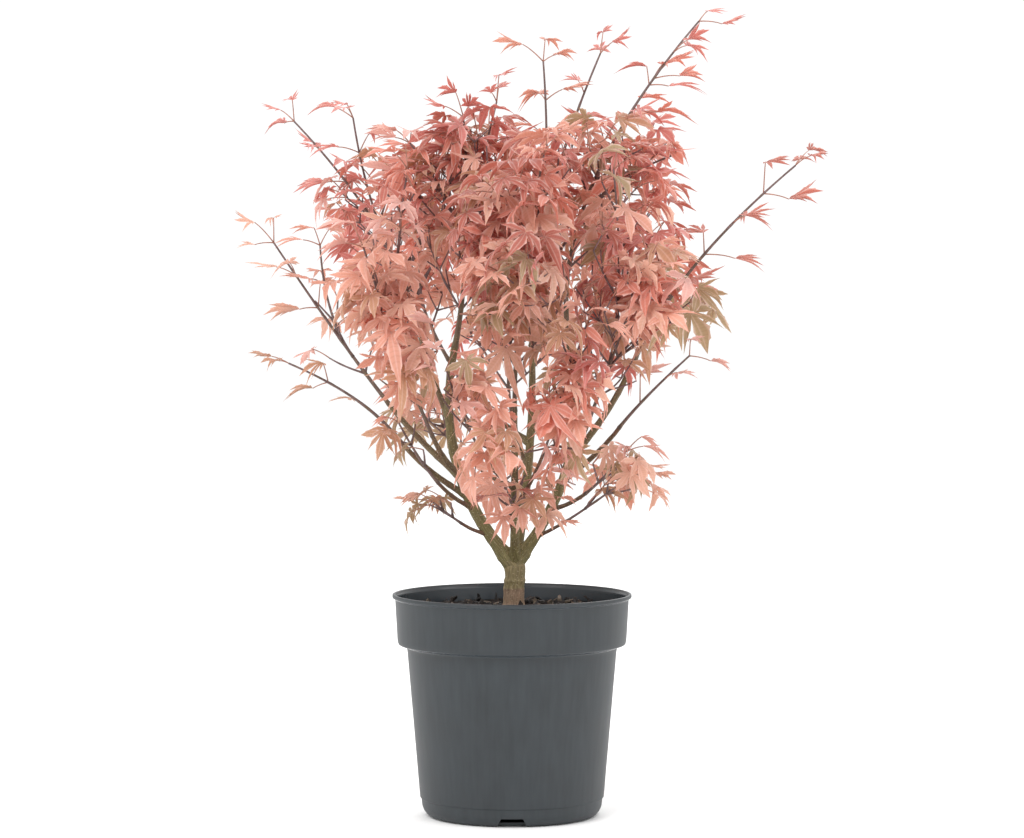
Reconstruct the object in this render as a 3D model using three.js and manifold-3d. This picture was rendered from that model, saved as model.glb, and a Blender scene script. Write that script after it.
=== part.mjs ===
// A young Japanese maple in a plastic nursery pot, in millimetres, with +Z up and the front facing -Y.
// The origin is the centre of the pot's flat underside.
// The trunk forks into four main boughs, these carry thinner boughs, and each thin bough ends in a mass
// of foliage: a stem that goes on from the bough's tip, shoots in opposite pairs on it, and leaves in
// opposite pairs on those.
import * as THREE from "three";
import { mergeVertices } from "three/addons/utils/BufferGeometryUtils.js";
import Module from "manifold-3d";

const wasm = await Module();
wasm.setup();

const UP = new THREE.Vector3(0, 0, 1);
const DEGREE = Math.PI / 180;

// Clearance between two solids that meet.
const GAP = 0.3;
// Corners closer together than this are one corner.
const MERGE_DISTANCE = 1e-3;
// Fusing leaves faces thinner than this along its seams, and they are merged into their neighbours.
const THINNEST_FACE = 0.04;

// The pot: a tapered wall with a deeper band at the top, a rolled lip and notches round the foot.
const POT_HEIGHT = 176;
const RIM_RADIUS = 95;
const BAND_HEIGHT = 41.2;
const BAND_TOP_RADIUS = 92.8;
const BAND_FOOT_RADIUS = 90.8;
const BODY_TOP_RADIUS = 83.2;
const BODY_FOOT_RADIUS = 73.1;
const FOOT_RADIUS = 71.5;
const FOOT_HEIGHT = 13.5;
const FOOT_ROUND = 3.5;
const WALL = 1.5;
const FLOOR = 2.4;
const POT_SEGMENTS = 30;
const NOTCH = { count: 3, footWidth: 24.5, topWidth: 17, height: 6.6, depth: 14 };

// The soil fills the pot to just below the lip.
const SOIL_TOP = 163.4;
const SOIL_RELIEF = 1.6;

// The trunk, from a flat cut on the soil to the fork.
const TRUNK = {
  foot: [1.4, 0, SOIL_TOP + GAP],
  fork: [2.2, 0.4, 204],
  radius: 8.1,
  flare: 2.2,
  flareHeight: 7,
  forkRadius: 9.2,
  sides: 12,
  steps: 8,
};

// Each bough grows from another limb at a share of that limb's length, and ends at its tip. The sag is
// how far it hangs below the straight line, as a share of its length, before it turns up.
const BOUGHS = [
  { name: "left_bough", from: "trunk", share: 0.86, tip: [-45, -10, 372], sag: 0.13, radii: [5.3, 2.7] },
  { name: "right_bough", from: "trunk", share: 0.9, tip: [46, 0, 372], sag: 0.12, radii: [4.7, 2.5] },
  { name: "back_bough", from: "trunk", share: 0.94, tip: [16, 38, 372], sag: 0.08, radii: [4.3, 2.4] },
  { name: "front_bough", from: "trunk", share: 0.93, tip: [2, -58, 324], sag: 0.1, radii: [3.9, 2.1] },
  { name: "low_left_bough", from: "left_bough", share: 0.17, tip: [-40, -16, 233], sag: 0.05, radii: [1.6, 1.2] },
  { name: "far_left_low_bough", from: "left_bough", share: 0.36, tip: [-92, -32, 304], sag: 0.05, radii: [2.5, 1.7] },
  { name: "far_left_bough", from: "left_bough", share: 0.45, tip: [-98, 14, 326], sag: 0.03, radii: [2.7, 1.9] },
  { name: "upper_left_bough", from: "left_bough", share: 0.7, tip: [-76, 22, 392], sag: 0.04, radii: [2.4, 1.7] },
  { name: "front_left_bough", from: "left_bough", share: 0.46, tip: [-62, -54, 304], sag: 0.06, radii: [2.4, 1.7] },
  { name: "low_right_bough", from: "right_bough", share: 0.14, tip: [42, -14, 234], sag: 0.02, radii: [1.6, 1.2] },
  { name: "right_low_bough", from: "right_bough", share: 0.42, tip: [84, -42, 310], sag: 0.04, radii: [2.3, 1.6] },
  { name: "far_right_bough", from: "right_bough", share: 0.5, tip: [98, 10, 362], sag: 0.04, radii: [2.9, 2.0] },
  { name: "front_right_bough", from: "right_bough", share: 0.54, tip: [60, -52, 316], sag: 0.05, radii: [2.4, 1.7] },
  { name: "low_back_bough", from: "back_bough", share: 0.24, tip: [-2, 44, 250], sag: 0.04, radii: [1.6, 1.2] },
  { name: "far_back_bough", from: "back_bough", share: 0.45, tip: [0, 80, 314], sag: 0.06, radii: [2.4, 1.7] },
  { name: "back_left_bough", from: "back_bough", share: 0.56, tip: [-52, 74, 360], sag: 0.06, radii: [2.4, 1.7] },
  { name: "back_right_bough", from: "back_bough", share: 0.62, tip: [66, 70, 356], sag: 0.06, radii: [2.4, 1.7] },
  { name: "low_front_bough", from: "front_bough", share: 0.2, tip: [-2, -36, 242], sag: 0.04, radii: [1.5, 1.1] },
  { name: "inner_left_bough", from: "left_bough", share: 0.3, tip: [-58, -32, 266], sag: 0.05, radii: [1.9, 1.4] },
  { name: "inner_right_bough", from: "right_bough", share: 0.28, tip: [58, -36, 258], sag: 0.04, radii: [1.9, 1.4] },
  { name: "inner_front_bough", from: "front_bough", share: 0.42, tip: [24, -66, 290], sag: 0.04, radii: [1.8, 1.3] },
  { name: "inner_front_left_bough", from: "front_bough", share: 0.54, tip: [-22, -72, 290], sag: 0.04, radii: [1.8, 1.3] },
  { name: "inner_back_bough", from: "back_bough", share: 0.34, tip: [-26, 50, 272], sag: 0.05, radii: [1.9, 1.4] },
];
const BOUGH_SIDES = 6;
const BOUGH_STEP = 30;

// Each mass of foliage goes on from a bough's tip to its leaders' tips. The spread is the length of its
// longest side shoots, and the leaf is the length of the middle lobe of its largest leaves.
const MASSES = [
  { name: "top_left_foliage", bough: "left_bough", leaders: [[-38, -26, 552], [-80, -16, 538]], spread: 70, leaf: 42, leaves: 15 },
  { name: "top_foliage", bough: "back_bough", leaders: [[71, 48, 606], [25, 40, 599]], spread: 68, leaf: 36, leaves: 10 },
  { name: "top_right_foliage", bough: "right_bough", leaders: [[147, -8, 628], [112, 14, 584]], spread: 74, leaf: 36, leaves: 14 },
  { name: "front_foliage", bough: "front_bough", leaders: [[24, -128, 520], [-18, -150, 392]], spread: 78, leaf: 43, leaves: 22 },
  { name: "low_left_foliage", bough: "low_left_bough", leaders: [[-62, -24, 250]], spread: 26, leaf: 34, leaves: 4 },
  { name: "far_left_low_foliage", bough: "far_left_low_bough", leaders: [[-174, -44, 360]], spread: 44, leaf: 34, leaves: 6 },
  { name: "far_left_foliage", bough: "far_left_bough", leaders: [[-188, -4, 454]], spread: 60, leaf: 35, leaves: 10 },
  { name: "upper_left_foliage", bough: "upper_left_bough", leaders: [[-174, 34, 551], [-126, 14, 553]], spread: 66, leaf: 37, leaves: 13 },
  { name: "front_left_foliage", bough: "front_left_bough", leaders: [[-104, -138, 446]], spread: 80, leaf: 43, leaves: 19 },
  { name: "low_right_foliage", bough: "low_right_bough", leaders: [[92, -26, 270]], spread: 44, leaf: 38, leaves: 5 },
  { name: "right_low_foliage", bough: "right_low_bough", leaders: [[138, -50, 366]], spread: 56, leaf: 38, leaves: 8 },
  { name: "far_right_foliage", bough: "far_right_bough", leaders: [[224, 2, 515]], spread: 70, leaf: 37, leaves: 13 },
  { name: "front_right_foliage", bough: "front_right_bough", leaders: [[106, -138, 456]], spread: 80, leaf: 43, leaves: 19 },
  { name: "low_back_foliage", bough: "low_back_bough", leaders: [[-6, 82, 266]], spread: 40, leaf: 38, leaves: 4 },
  { name: "far_back_foliage", bough: "far_back_bough", leaders: [[4, 166, 392]], spread: 78, leaf: 44, leaves: 13 },
  { name: "back_left_foliage", bough: "back_left_bough", leaders: [[-96, 140, 478]], spread: 80, leaf: 43, leaves: 14 },
  { name: "back_right_foliage", bough: "back_right_bough", leaders: [[106, 138, 466]], spread: 80, leaf: 43, leaves: 14 },
  { name: "low_front_foliage", bough: "low_front_bough", leaders: [[-6, -66, 258]], spread: 30, leaf: 34, leaves: 4 },
  { name: "inner_left_foliage", bough: "inner_left_bough", leaders: [[-86, -46, 294]], spread: 42, leaf: 38, leaves: 6 },
  { name: "inner_right_foliage", bough: "inner_right_bough", leaders: [[88, -66, 292]], spread: 44, leaf: 38, leaves: 6 },
  { name: "inner_front_foliage", bough: "inner_front_bough", leaders: [[34, -110, 330]], spread: 46, leaf: 40, leaves: 7 },
  { name: "inner_front_left_foliage", bough: "inner_front_left_bough", leaders: [[-42, -112, 322]], spread: 46, leaf: 40, leaves: 7 },
  { name: "inner_back_foliage", bough: "inner_back_bough", leaders: [[-56, 88, 300]], spread: 46, leaf: 40, leaves: 6 },
];

// The growing rule. Orders: 0 is a leader, 1 is a side shoot.
const INTERNODE = [44, 27];
const BARE_SHARE = [0.08, 0.3];
const LEAF_FROM_SHARE = 0.3;
const SHOOTS_TO_SHARE = 0.8;
const SHOOT_ANGLE = 54 * DEGREE;
const SHOOT_LIFT = 0.22;
const FLATTEN = 0.5;
const FORK_SHARE = 0.3;
const FORK_DEPTH = 2.5;
const LEADER_TIP_RADIUS = 1.7;
const SHOOT_RADII = [2.0, 1.6];
const STALK_LENGTH = 16;
const STALK_LEAN = 0.35;
const STALK_OUTWARD = 0.45;
const STALK_LIFT = 0.12;
const ROOT_DEPTH = { side: 0.7, tip: 3 };
const TIP_SIZE = 0.58;
const DIP = { low: 44 * DEGREE, high: 28 * DEGREE, spread: 10 * DEGREE };
const CROWN_FOOT = 240;
const CROWN_TOP = 600;
const ROLL = 20 * DEGREE;
const LENGTH_TRIES = [1, 0.8, 0.6, 0.42];
// Each try for a leaf: how far its stalk is turned, in degrees, and the share of its full size.
const LEAF_TRIES = [
  [0, 1], [30, 1], [-30, 1], [60, 0.9], [-60, 0.9], [90, 0.85], [-90, 0.85],
  [0, 0.75], [40, 0.75], [-40, 0.75], [80, 0.7], [-80, 0.7],
];
const LEAF_ROOT_REACH = 3.6;
const SHOOT_ROOT_REACH = 6.5;
const LOWEST_LEAF = POT_HEIGHT + 12;

// A leaf seen from above: the points round its edge, as the bearing from the middle lobe and the
// distance from the stalk's end as a share of the middle lobe. Tips and the bays between them take
// turns, and the first point is the stalk's root.
const LEAF_EDGE = [
  [180, 0.4],
  [-148, 0.15], [-104, 0.68], [-78, 0.46], [-50, 0.92], [-24, 0.54],
  [0, 1],
  [24, 0.54], [50, 0.92], [78, 0.46], [104, 0.68], [148, 0.15],
];
const LEAF_HALF_THICKNESS = 1.2;
const LEAF_DROOP = 0.24;

const COLOURS = { pot: 0x565b5e, soil: 0x3a2f28, trunk: 0x6f6348, bough: 0x6b5a45, foliage: 0xc67a68 };

// A repeatable stream of numbers from 0 to 1 (mulberry32).
function randomStream(seed) {
  let state = seed >>> 0;
  return () => {
    state = (state + 0x6d2b79f5) >>> 0;
    let mixed = Math.imul(state ^ (state >>> 15), state | 1);
    mixed ^= mixed + Math.imul(mixed ^ (mixed >>> 7), mixed | 61);
    return ((mixed ^ (mixed >>> 14)) >>> 0) / 4294967296;
  };
}

const vector = (coordinates) => new THREE.Vector3(...coordinates);

// A solid from a closed three.js geometry, with its shared corners merged.
function solidOf(geometry) {
  const bare = geometry.clone();
  bare.deleteAttribute("normal");
  bare.deleteAttribute("uv");
  const merged = mergeVertices(bare, MERGE_DISTANCE);
  const index = merged.index.array;
  const faces = [];
  for (let i = 0; i < index.length; i += 3) {
    const [a, b, c] = [index[i], index[i + 1], index[i + 2]];
    if (a !== b && b !== c && c !== a) faces.push(a, b, c);
  }
  const mesh = new wasm.Mesh({
    numProp: 3,
    vertProperties: merged.attributes.position.array,
    triVerts: new Uint32Array(faces),
  });
  return new wasm.Manifold(mesh);
}

const largestBody = (solid) => solid.decompose().sort((a, b) => b.volume() - a.volume())[0];

function geometryOf(solid) {
  const { vertProperties, triVerts } = solid.getMesh();
  const geometry = new THREE.BufferGeometry();
  geometry.setAttribute("position", new THREE.BufferAttribute(vertProperties, 3));
  geometry.setIndex(new THREE.BufferAttribute(triVerts, 1));
  return geometry;
}

// Whether a solid is still one closed body once its close corners are merged: each edge then runs
// between just two faces, and no scrap or sealed pocket splits off.
function isSound(solid) {
  const index = mergeVertices(geometryOf(solid), MERGE_DISTANCE).index.array;
  const edges = new Set();
  for (let i = 0; i < index.length; i += 3) {
    const face = index.slice(i, i + 3);
    for (let corner = 0; corner < 3; corner++) {
      const edge = face[corner] * 1e6 + face[(corner + 1) % 3];
      if (edges.has(edge)) return false;
      edges.add(edge);
    }
  }
  return solidOf(geometryOf(solid)).decompose().length === 1;
}

// A named mesh from a solid. A loose scrap that a cut has left is dropped.
function meshOf(name, solid, colour, roughness) {
  const geometry = geometryOf(largestBody(solid));
  geometry.computeVertexNormals();
  const material = new THREE.MeshStandardMaterial({ color: colour, roughness, metalness: 0 });
  const mesh = new THREE.Mesh(geometry, material);
  mesh.name = name;
  return mesh;
}

// A closed round tube along a curve. An extruded disc of unit radius and unit depth is bent along the
// curve, and its radius at each step is radiusAt(share of the length).
function tube(curve, radiusAt, sides, steps) {
  const disc = new THREE.Shape();
  for (let side = 0; side < sides; side++) {
    const bearing = (side / sides) * 2 * Math.PI;
    if (side === 0) disc.moveTo(Math.cos(bearing), Math.sin(bearing));
    else disc.lineTo(Math.cos(bearing), Math.sin(bearing));
  }
  const geometry = new THREE.ExtrudeGeometry(disc, { depth: 1, steps, bevelEnabled: false });
  const frames = curve.computeFrenetFrames(steps, false);
  const position = geometry.attributes.position;
  const corner = new THREE.Vector3();
  for (let i = 0; i < position.count; i++) {
    corner.fromBufferAttribute(position, i);
    const step = Math.round(corner.z * steps);
    const radius = radiusAt(step / steps);
    const placed = curve.getPointAt(step / steps)
      .addScaledVector(frames.normals[step], corner.x * radius)
      .addScaledVector(frames.binormals[step], corner.y * radius);
    position.setXYZ(i, placed.x, placed.y, placed.z);
  }
  return geometry;
}

const taper = ([foot, tip], extra = 0) => (share) => foot + (tip - foot) * share + extra;

// The pot's outer wall from the edge of the underside up to the lip, as [radius, height].
function potOuterWall() {
  const bandFoot = POT_HEIGHT - BAND_HEIGHT;
  return [
    [FOOT_RADIUS - FOOT_ROUND, 0],
    [FOOT_RADIUS, FOOT_ROUND],
    [FOOT_RADIUS + 0.5, FOOT_HEIGHT],
    [BODY_FOOT_RADIUS, FOOT_HEIGHT + 0.8],
    [BODY_TOP_RADIUS, bandFoot - 3.4],
    [BODY_TOP_RADIUS + 1.2, bandFoot],
    [BAND_FOOT_RADIUS - 1, bandFoot + 2.2],
    [BAND_FOOT_RADIUS, bandFoot + 4.2],
    [BAND_TOP_RADIUS, POT_HEIGHT - 3.2],
    [RIM_RADIUS, POT_HEIGHT - 1.9],
    [RIM_RADIUS - 0.3, POT_HEIGHT - 0.3],
  ];
}

// The pot's inner wall from the lip down to the floor, a wall's thickness inside the outer one.
function potInnerWall() {
  const bandFoot = POT_HEIGHT - BAND_HEIGHT;
  return [
    [BAND_TOP_RADIUS - 0.4, POT_HEIGHT],
    [BAND_TOP_RADIUS - WALL, POT_HEIGHT - 1.6],
    [BAND_FOOT_RADIUS - WALL, bandFoot + 5],
    [BODY_TOP_RADIUS - WALL, bandFoot + 0.6],
    [BODY_FOOT_RADIUS - WALL, FOOT_HEIGHT + 1.6],
    [FOOT_RADIUS - WALL - 1.2, FLOOR],
  ];
}

const latheOf = (profile) => new THREE.LatheGeometry(
  profile.map(([radius, height]) => new THREE.Vector2(radius, height)), POT_SEGMENTS,
).rotateX(Math.PI / 2);

// A drain notch: a trapezoid that is pushed in through the foot of the wall from outside.
function notchAt(bearing) {
  const outline = new THREE.Shape([
    new THREE.Vector2(-NOTCH.footWidth / 2, -1),
    new THREE.Vector2(NOTCH.footWidth / 2, -1),
    new THREE.Vector2(NOTCH.topWidth / 2, NOTCH.height),
    new THREE.Vector2(-NOTCH.topWidth / 2, NOTCH.height),
  ]);
  const block = new THREE.ExtrudeGeometry(outline, { depth: NOTCH.depth, bevelEnabled: false });
  block.rotateX(Math.PI / 2);
  block.translate(0, -(FOOT_RADIUS + 3 - NOTCH.depth), 0);
  block.rotateZ(bearing);
  return solidOf(block);
}

function pot() {
  const profile = [[0, 0], ...potOuterWall(), ...potInnerWall(), [0, FLOOR]];
  let solid = solidOf(latheOf(profile));
  for (let i = 0; i < NOTCH.count; i++) {
    solid = solid.subtract(notchAt((i / NOTCH.count) * 2 * Math.PI));
  }
  return meshOf("pot", solid, COLOURS.pot, 0.5);
}

// The soil: it follows the inner wall, and its top is a little uneven outside the trunk's seat.
function soil() {
  const wall = potInnerWall().slice(2).reverse().map(([radius, height]) => [radius - GAP, height + GAP]);
  const topRadius = BAND_TOP_RADIUS - WALL - 1.2;
  const rings = [0.82, 0.55, 0.3].map((share) => [topRadius * share, SOIL_TOP]);
  const profile = [[0, FLOOR + GAP], ...wall, [topRadius, SOIL_TOP - 1], ...rings, [0, SOIL_TOP]];
  const geometry = latheOf(profile);
  const position = geometry.attributes.position;
  const seat = topRadius * 0.32;
  for (let i = 0; i < position.count; i++) {
    const [x, y, z] = [position.getX(i), position.getY(i), position.getZ(i)];
    const radius = Math.hypot(x, y);
    if (z < SOIL_TOP - 0.5 || radius < seat) continue;
    const bearing = Math.atan2(y, x);
    position.setZ(i, z + SOIL_RELIEF * Math.sin(3 * bearing + radius / 9) * Math.cos(2 * bearing - radius / 13));
  }
  return meshOf("soil", solidOf(geometry), COLOURS.soil, 1);
}

// The trunk's radius at a share of its height: it flares at the soil and widens under the fork.
function trunkRadius(share) {
  const height = share * (TRUNK.fork[2] - TRUNK.foot[2]);
  const flare = TRUNK.flare * Math.max(0, 1 - height / TRUNK.flareHeight) ** 2;
  const widening = (TRUNK.forkRadius - TRUNK.radius) * Math.max(0, (share - 0.6) / 0.4) ** 1.5;
  const closing = share > 0.95 ? 3.2 : 0;
  return TRUNK.radius + flare + widening - closing;
}

const trunkLimb = {
  name: "trunk",
  curve: new THREE.LineCurve3(vector(TRUNK.foot), vector(TRUNK.fork)),
};
trunkLimb.solidWith = (extra) =>
  solidOf(tube(trunkLimb.curve, (share) => trunkRadius(share) + extra, TRUNK.sides, TRUNK.steps));

// A bough's line: an arc that leaves its parent low and turns up towards its tip.
function boughCurve(start, tip, sag) {
  const chord = tip.clone().sub(start);
  const sideways = new THREE.Vector3().crossVectors(chord, UP).normalize();
  const outward = new THREE.Vector3().crossVectors(chord, sideways).normalize();
  const control = start.clone().add(tip).multiplyScalar(0.5).addScaledVector(outward, sag * chord.length() * 2);
  return new THREE.QuadraticBezierCurve3(start, control, tip);
}

function growBough(plan, limbs) {
  const parent = limbs.find((limb) => limb.name === plan.from);
  const curve = boughCurve(parent.curve.getPointAt(plan.share), vector(plan.tip), plan.sag);
  const steps = Math.max(3, Math.round(curve.getLength() / BOUGH_STEP));
  const solidWith = (extra) => solidOf(tube(curve, taper(plan.radii, extra), BOUGH_SIDES, steps));
  return { ...plan, curve, solidWith };
}

const limbs = [trunkLimb];
for (const plan of BOUGHS) limbs.push(growBough(plan, limbs));

// Each bough is cut clear of the limbs that were made before it, so that it sits on its parent's side.
const limbMeshes = limbs.map((limb, place) => {
  let solid = limb.solidWith(0);
  for (const earlier of limbs.slice(0, place)) solid = solid.subtract(earlier.solidWith(GAP));
  const isTrunk = limb === trunkLimb;
  return meshOf(limb.name, solid, isTrunk ? COLOURS.trunk : COLOURS.bough, 0.8);
});

// All limbs, a little fatter, to test twigs and leaves against.
const fatLimbs = limbs.map((limb) => limb.solidWith(GAP * 2)).reduce((all, one) => all.add(one));

// A leader goes on in its bough's direction and bends towards its own tip.
function leaderCurve(start, direction, tip) {
  const reach = start.distanceTo(tip);
  return new THREE.QuadraticBezierCurve3(start, start.clone().addScaledVector(direction, reach * 0.42), tip);
}

// How many nodes a shoot has. Its tube has a ring of corners at each of them.
const nodeCount = (curve, order) => Math.max(order === 0 ? 2 : 1, Math.round(curve.getLength() / INTERNODE[order]));

function leadersOf(mass) {
  const bough = limbs.find((limb) => limb.name === mass.bough);
  const direction = bough.curve.getTangentAt(1);
  const start = bough.curve.getPointAt(1).addScaledVector(direction, GAP);
  const stem = leaderCurve(start, direction, vector(mass.leaders[0]));
  const forkShare = Math.max(1, Math.round(FORK_SHARE * nodeCount(stem, 0))) / nodeCount(stem, 0);
  const forkDirection = stem.getTangentAt(forkShare);
  const forkPoint = stem.getPointAt(forkShare).addScaledVector(forkDirection, -FORK_DEPTH);
  const forks = mass.leaders.slice(1).map((tip) => leaderCurve(forkPoint, forkDirection, vector(tip)));
  const footRadius = bough.radii[1];
  return [stem, ...forks].map((curve, place) => ({
    curve,
    order: 0,
    radii: [place === 0 ? footRadius : footRadius * 0.7, LEADER_TIP_RADIUS],
  }));
}

// The plane that parts two sets of points with the widest gap. It walks towards the shortest line from
// one set's hull to the other's, each time by way of the corners that lie nearest along that line.
function partingPlane(near, far) {
  const line = far[0].clone().sub(near[0]);
  const furthest = () => near.reduce((best, p) => (p.dot(line) > best.dot(line) ? p : best));
  const nearest = () => far.reduce((best, p) => (p.dot(line) < best.dot(line) ? p : best));
  for (let step = 0; step < 400; step++) {
    const edge = nearest().clone().sub(furthest()).sub(line);
    if (edge.lengthSq() < 1e-9) break;
    line.addScaledVector(edge, THREE.MathUtils.clamp(-line.dot(edge) / edge.lengthSq(), 0, 1));
  }
  line.normalize();
  return { normal: line, offset: (furthest().dot(line) + nearest().dot(line)) / 2 };
}

const stemPoints = (leaders) => leaders.flatMap(({ curve }) => curve.getSpacedPoints(10));
const leaderSets = MASSES.map(leadersOf);

// The space of one mass: the half-spaces on its own side of the planes that part it from the others.
function spaceOf(place) {
  const own = stemPoints(leaderSets[place]);
  return leaderSets.filter((_, other) => other !== place).map((leaders) => {
    const { normal, offset } = partingPlane(own, stemPoints(leaders));
    return new THREE.Plane(normal.clone().negate(), offset - GAP);
  });
}

// Two directions across a shoot, the first one level, to set out its pairs with.
function acrossShoot(forward) {
  const level = new THREE.Vector3().crossVectors(forward, UP);
  if (level.length() < 0.2) level.set(1, 0, 0).projectOnPlane(forward);
  level.normalize();
  return [level, new THREE.Vector3().crossVectors(level, forward)];
}

// The sideways direction of a pair: pairs cross each other up the shoot, and lie flatter on a level shoot.
function pairDirection(forward, turn) {
  const [level, rising] = acrossShoot(forward);
  const flat = 1 - FLATTEN * Math.hypot(forward.x, forward.y);
  return level.multiplyScalar(Math.cos(turn)).addScaledVector(rising, Math.sin(turn) * flat).normalize();
}

function sideShootCurve(point, forward, out, length) {
  const direction = forward.clone().multiplyScalar(Math.cos(SHOOT_ANGLE))
    .addScaledVector(out, Math.sin(SHOOT_ANGLE)).normalize();
  direction.addScaledVector(UP, SHOOT_LIFT).normalize();
  return new THREE.LineCurve3(point, point.clone().addScaledVector(direction, length));
}

// A leaf's place: its stalk stands out from the node and a little outward from the tree, and its blade
// goes on from there and dips below the stalk's line, more so low in the crown. The dip and the roll are
// small enough for the stalk to come in between the two hindmost lobes.
function leafPlan(point, forward, out, size, turn, chance) {
  const outward = new THREE.Vector3(point.x, point.y, 0).normalize();
  const stalk = out.clone().addScaledVector(forward, STALK_LEAN).addScaledVector(outward, STALK_OUTWARD)
    .addScaledVector(UP, STALK_LIFT).applyAxisAngle(UP, turn).normalize();
  const base = point.clone().addScaledVector(stalk, STALK_LENGTH * size.share * (0.8 + 0.4 * chance[0]));
  const root = point.clone().addScaledVector(stalk, -ROOT_DEPTH.side);
  if (out === forward) root.copy(point).addScaledVector(forward, -ROOT_DEPTH.tip);
  const height = THREE.MathUtils.clamp((base.z - CROWN_FOOT) / (CROWN_TOP - CROWN_FOOT), 0, 1);
  const dip = THREE.MathUtils.lerp(DIP.low, DIP.high, height) + DIP.spread * (chance[1] - 0.5) * 2;
  const sideways = new THREE.Vector3().crossVectors(UP, stalk).normalize();
  const along = stalk.clone().applyAxisAngle(sideways, dip);
  const across = sideways.applyAxisAngle(along, ROLL * (chance[2] - 0.5) * 2);
  return { root, base, along, across, length: size.length * (0.88 + 0.24 * chance[3]) };
}

// A leaf: a flat double cone. Its edge is pulled out to the tips of the lobes and in to the bays, hangs
// lower the further it lies from the stalk, and runs out at the back into a stalk whose root is sunk
// in the twig.
function leafSolid(leaf) {
  const profile = [[0, -1], [1, 0], [0, 1]].map(([radius, height]) => new THREE.Vector2(radius, height));
  const geometry = new THREE.LatheGeometry(profile, LEAF_EDGE.length);
  const normal = new THREE.Vector3().crossVectors(leaf.along, leaf.across);
  const position = geometry.attributes.position;
  for (let i = 0; i < position.count; i++) {
    const column = Math.floor(i / profile.length) % LEAF_EDGE.length;
    const row = i % profile.length;
    const [bearing, share] = row === 1 ? LEAF_EDGE[column] : [0, 0];
    const placed = row === 1 && column === 0 ? leaf.root.clone() : leaf.base.clone()
      .addScaledVector(leaf.along, Math.cos(bearing * DEGREE) * share * leaf.length)
      .addScaledVector(leaf.across, Math.sin(bearing * DEGREE) * share * leaf.length)
      .addScaledVector(normal, (row - 1) * LEAF_HALF_THICKNESS - LEAF_DROOP * share * share * leaf.length);
    position.setXYZ(i, placed.x, placed.y, placed.z);
  }
  return solidOf(geometry);
}

// The nodes of a shoot: where each one is, and the two ways in which its pair stands out.
function nodesOf({ curve, order }, random) {
  const count = nodeCount(curve, order);
  const firstTurn = random() * Math.PI;
  const nodes = [];
  for (let place = 1; place <= count; place++) {
    const share = place / count;
    if (share < BARE_SHARE[order]) continue;
    const forward = curve.getTangentAt(share);
    const out = pairDirection(forward, firstTurn + (place * Math.PI) / 2);
    const pair = [out, out.clone().negate()];
    nodes.push({ order, share, point: curve.getPointAt(share), forward, pair });
    if (place === count) nodes.push({ order, share, point: curve.getPointAt(1), forward, pair: [forward] });
  }
  return nodes;
}

// Grows one mass, first its twigs and then its leaves, and gives its fused solid. A twig or leaf may
// touch the others only at its root. What would touch more, touch a limb or leave the mass's space is
// tried turned or shortened, and is then left out.
function growMass(mass, place) {
  const random = randomStream(101 + place * 17);
  const space = spaceOf(place);
  let whole = null;

  const fits = (solid, root, reach) => {
    const { vertProperties: corners, numProp } = solid.getMesh();
    for (let i = 0; i < corners.length; i += numProp) {
      const corner = new THREE.Vector3(corners[i], corners[i + 1], corners[i + 2]);
      if (corner.z < LOWEST_LEAF) return false;
      if (space.some((plane) => plane.distanceToPoint(corner) < 0)) return false;
    }
    if (!fatLimbs.intersect(solid).isEmpty()) return false;
    const touched = whole.intersect(solid).getMesh();
    for (let i = 0; i < touched.vertProperties.length; i += touched.numProp) {
      const corner = new THREE.Vector3(...touched.vertProperties.subarray(i, i + 3));
      if (corner.distanceTo(root) > reach) return false;
    }
    return true;
  };

  const nodes = [];
  for (const leader of leaderSets[place]) {
    const solid = solidOf(tube(leader.curve, taper(leader.radii), 3, nodeCount(leader.curve, 0)));
    whole = whole ? whole.add(solid) : solid;
    nodes.push(...nodesOf(leader, random));
  }

  const addShoot = ({ point, forward }, out, length) => {
    for (const share of LENGTH_TRIES) {
      const curve = sideShootCurve(point, forward, out, length * share);
      const solid = solidOf(tube(curve, taper(SHOOT_RADII), 3, 1));
      if (!fits(solid, point, SHOOT_ROOT_REACH) || !isSound(whole.add(solid))) continue;
      whole = whole.add(solid);
      nodes.push(...nodesOf({ curve, order: 1 }, random));
      return true;
    }
    return false;
  };
  const spots = [];
  for (const node of nodes.slice()) {
    for (const out of node.pair) {
      const length = mass.spread * (1 - 0.65 * node.share) * (0.8 + 0.4 * random());
      if (node.share > SHOOTS_TO_SHARE || !addShoot(node, out, length)) spots.push({ ...node, out });
    }
  }

  for (const node of nodes) {
    if (node.order === 0 || node.share < LEAF_FROM_SHARE) continue;
    for (const out of node.pair) spots.push({ ...node, out });
  }

  let leaves = 0;
  const addLeaf = ({ point, forward, out, order, share: along }) => {
    if (leaves === mass.leaves) return;
    const chance = [random(), random(), random(), random()];
    const taperOff = 1 - (order === 0 ? 1 - TIP_SIZE : 0.2) * along * along;
    for (const [turn, share] of LEAF_TRIES) {
      const size = { share: taperOff, length: mass.leaf * taperOff * share };
      const leaf = leafPlan(point, forward, out, size, turn * DEGREE, chance);
      const solid = leafSolid(leaf);
      if (!fits(solid, point, LEAF_ROOT_REACH) || !isSound(whole.add(solid))) continue;
      whole = whole.add(solid);
      leaves++;
      return;
    }
  };
  // The leaders' tips are dressed first, then the shoots' tips, and then the other nodes by lot.
  const rank = ({ order, share, pair }) => (share === 1 && order === 0 ? -2 : pair.length === 1 ? -1 : random());
  spots.map((spot) => [rank(spot), spot]).sort((a, b) => a[0] - b[0]).forEach(([, spot]) => addLeaf(spot));
  const tidied = whole.simplify(THINNEST_FACE);
  return meshOf(mass.name, isSound(tidied) ? tidied : whole, COLOURS.foliage, 0.6);
}

const maple = new THREE.Group();
maple.add(pot(), soil(), ...limbMeshes);
for (const [place, mass] of MASSES.entries()) maple.add(growMass(mass, place));

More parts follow.
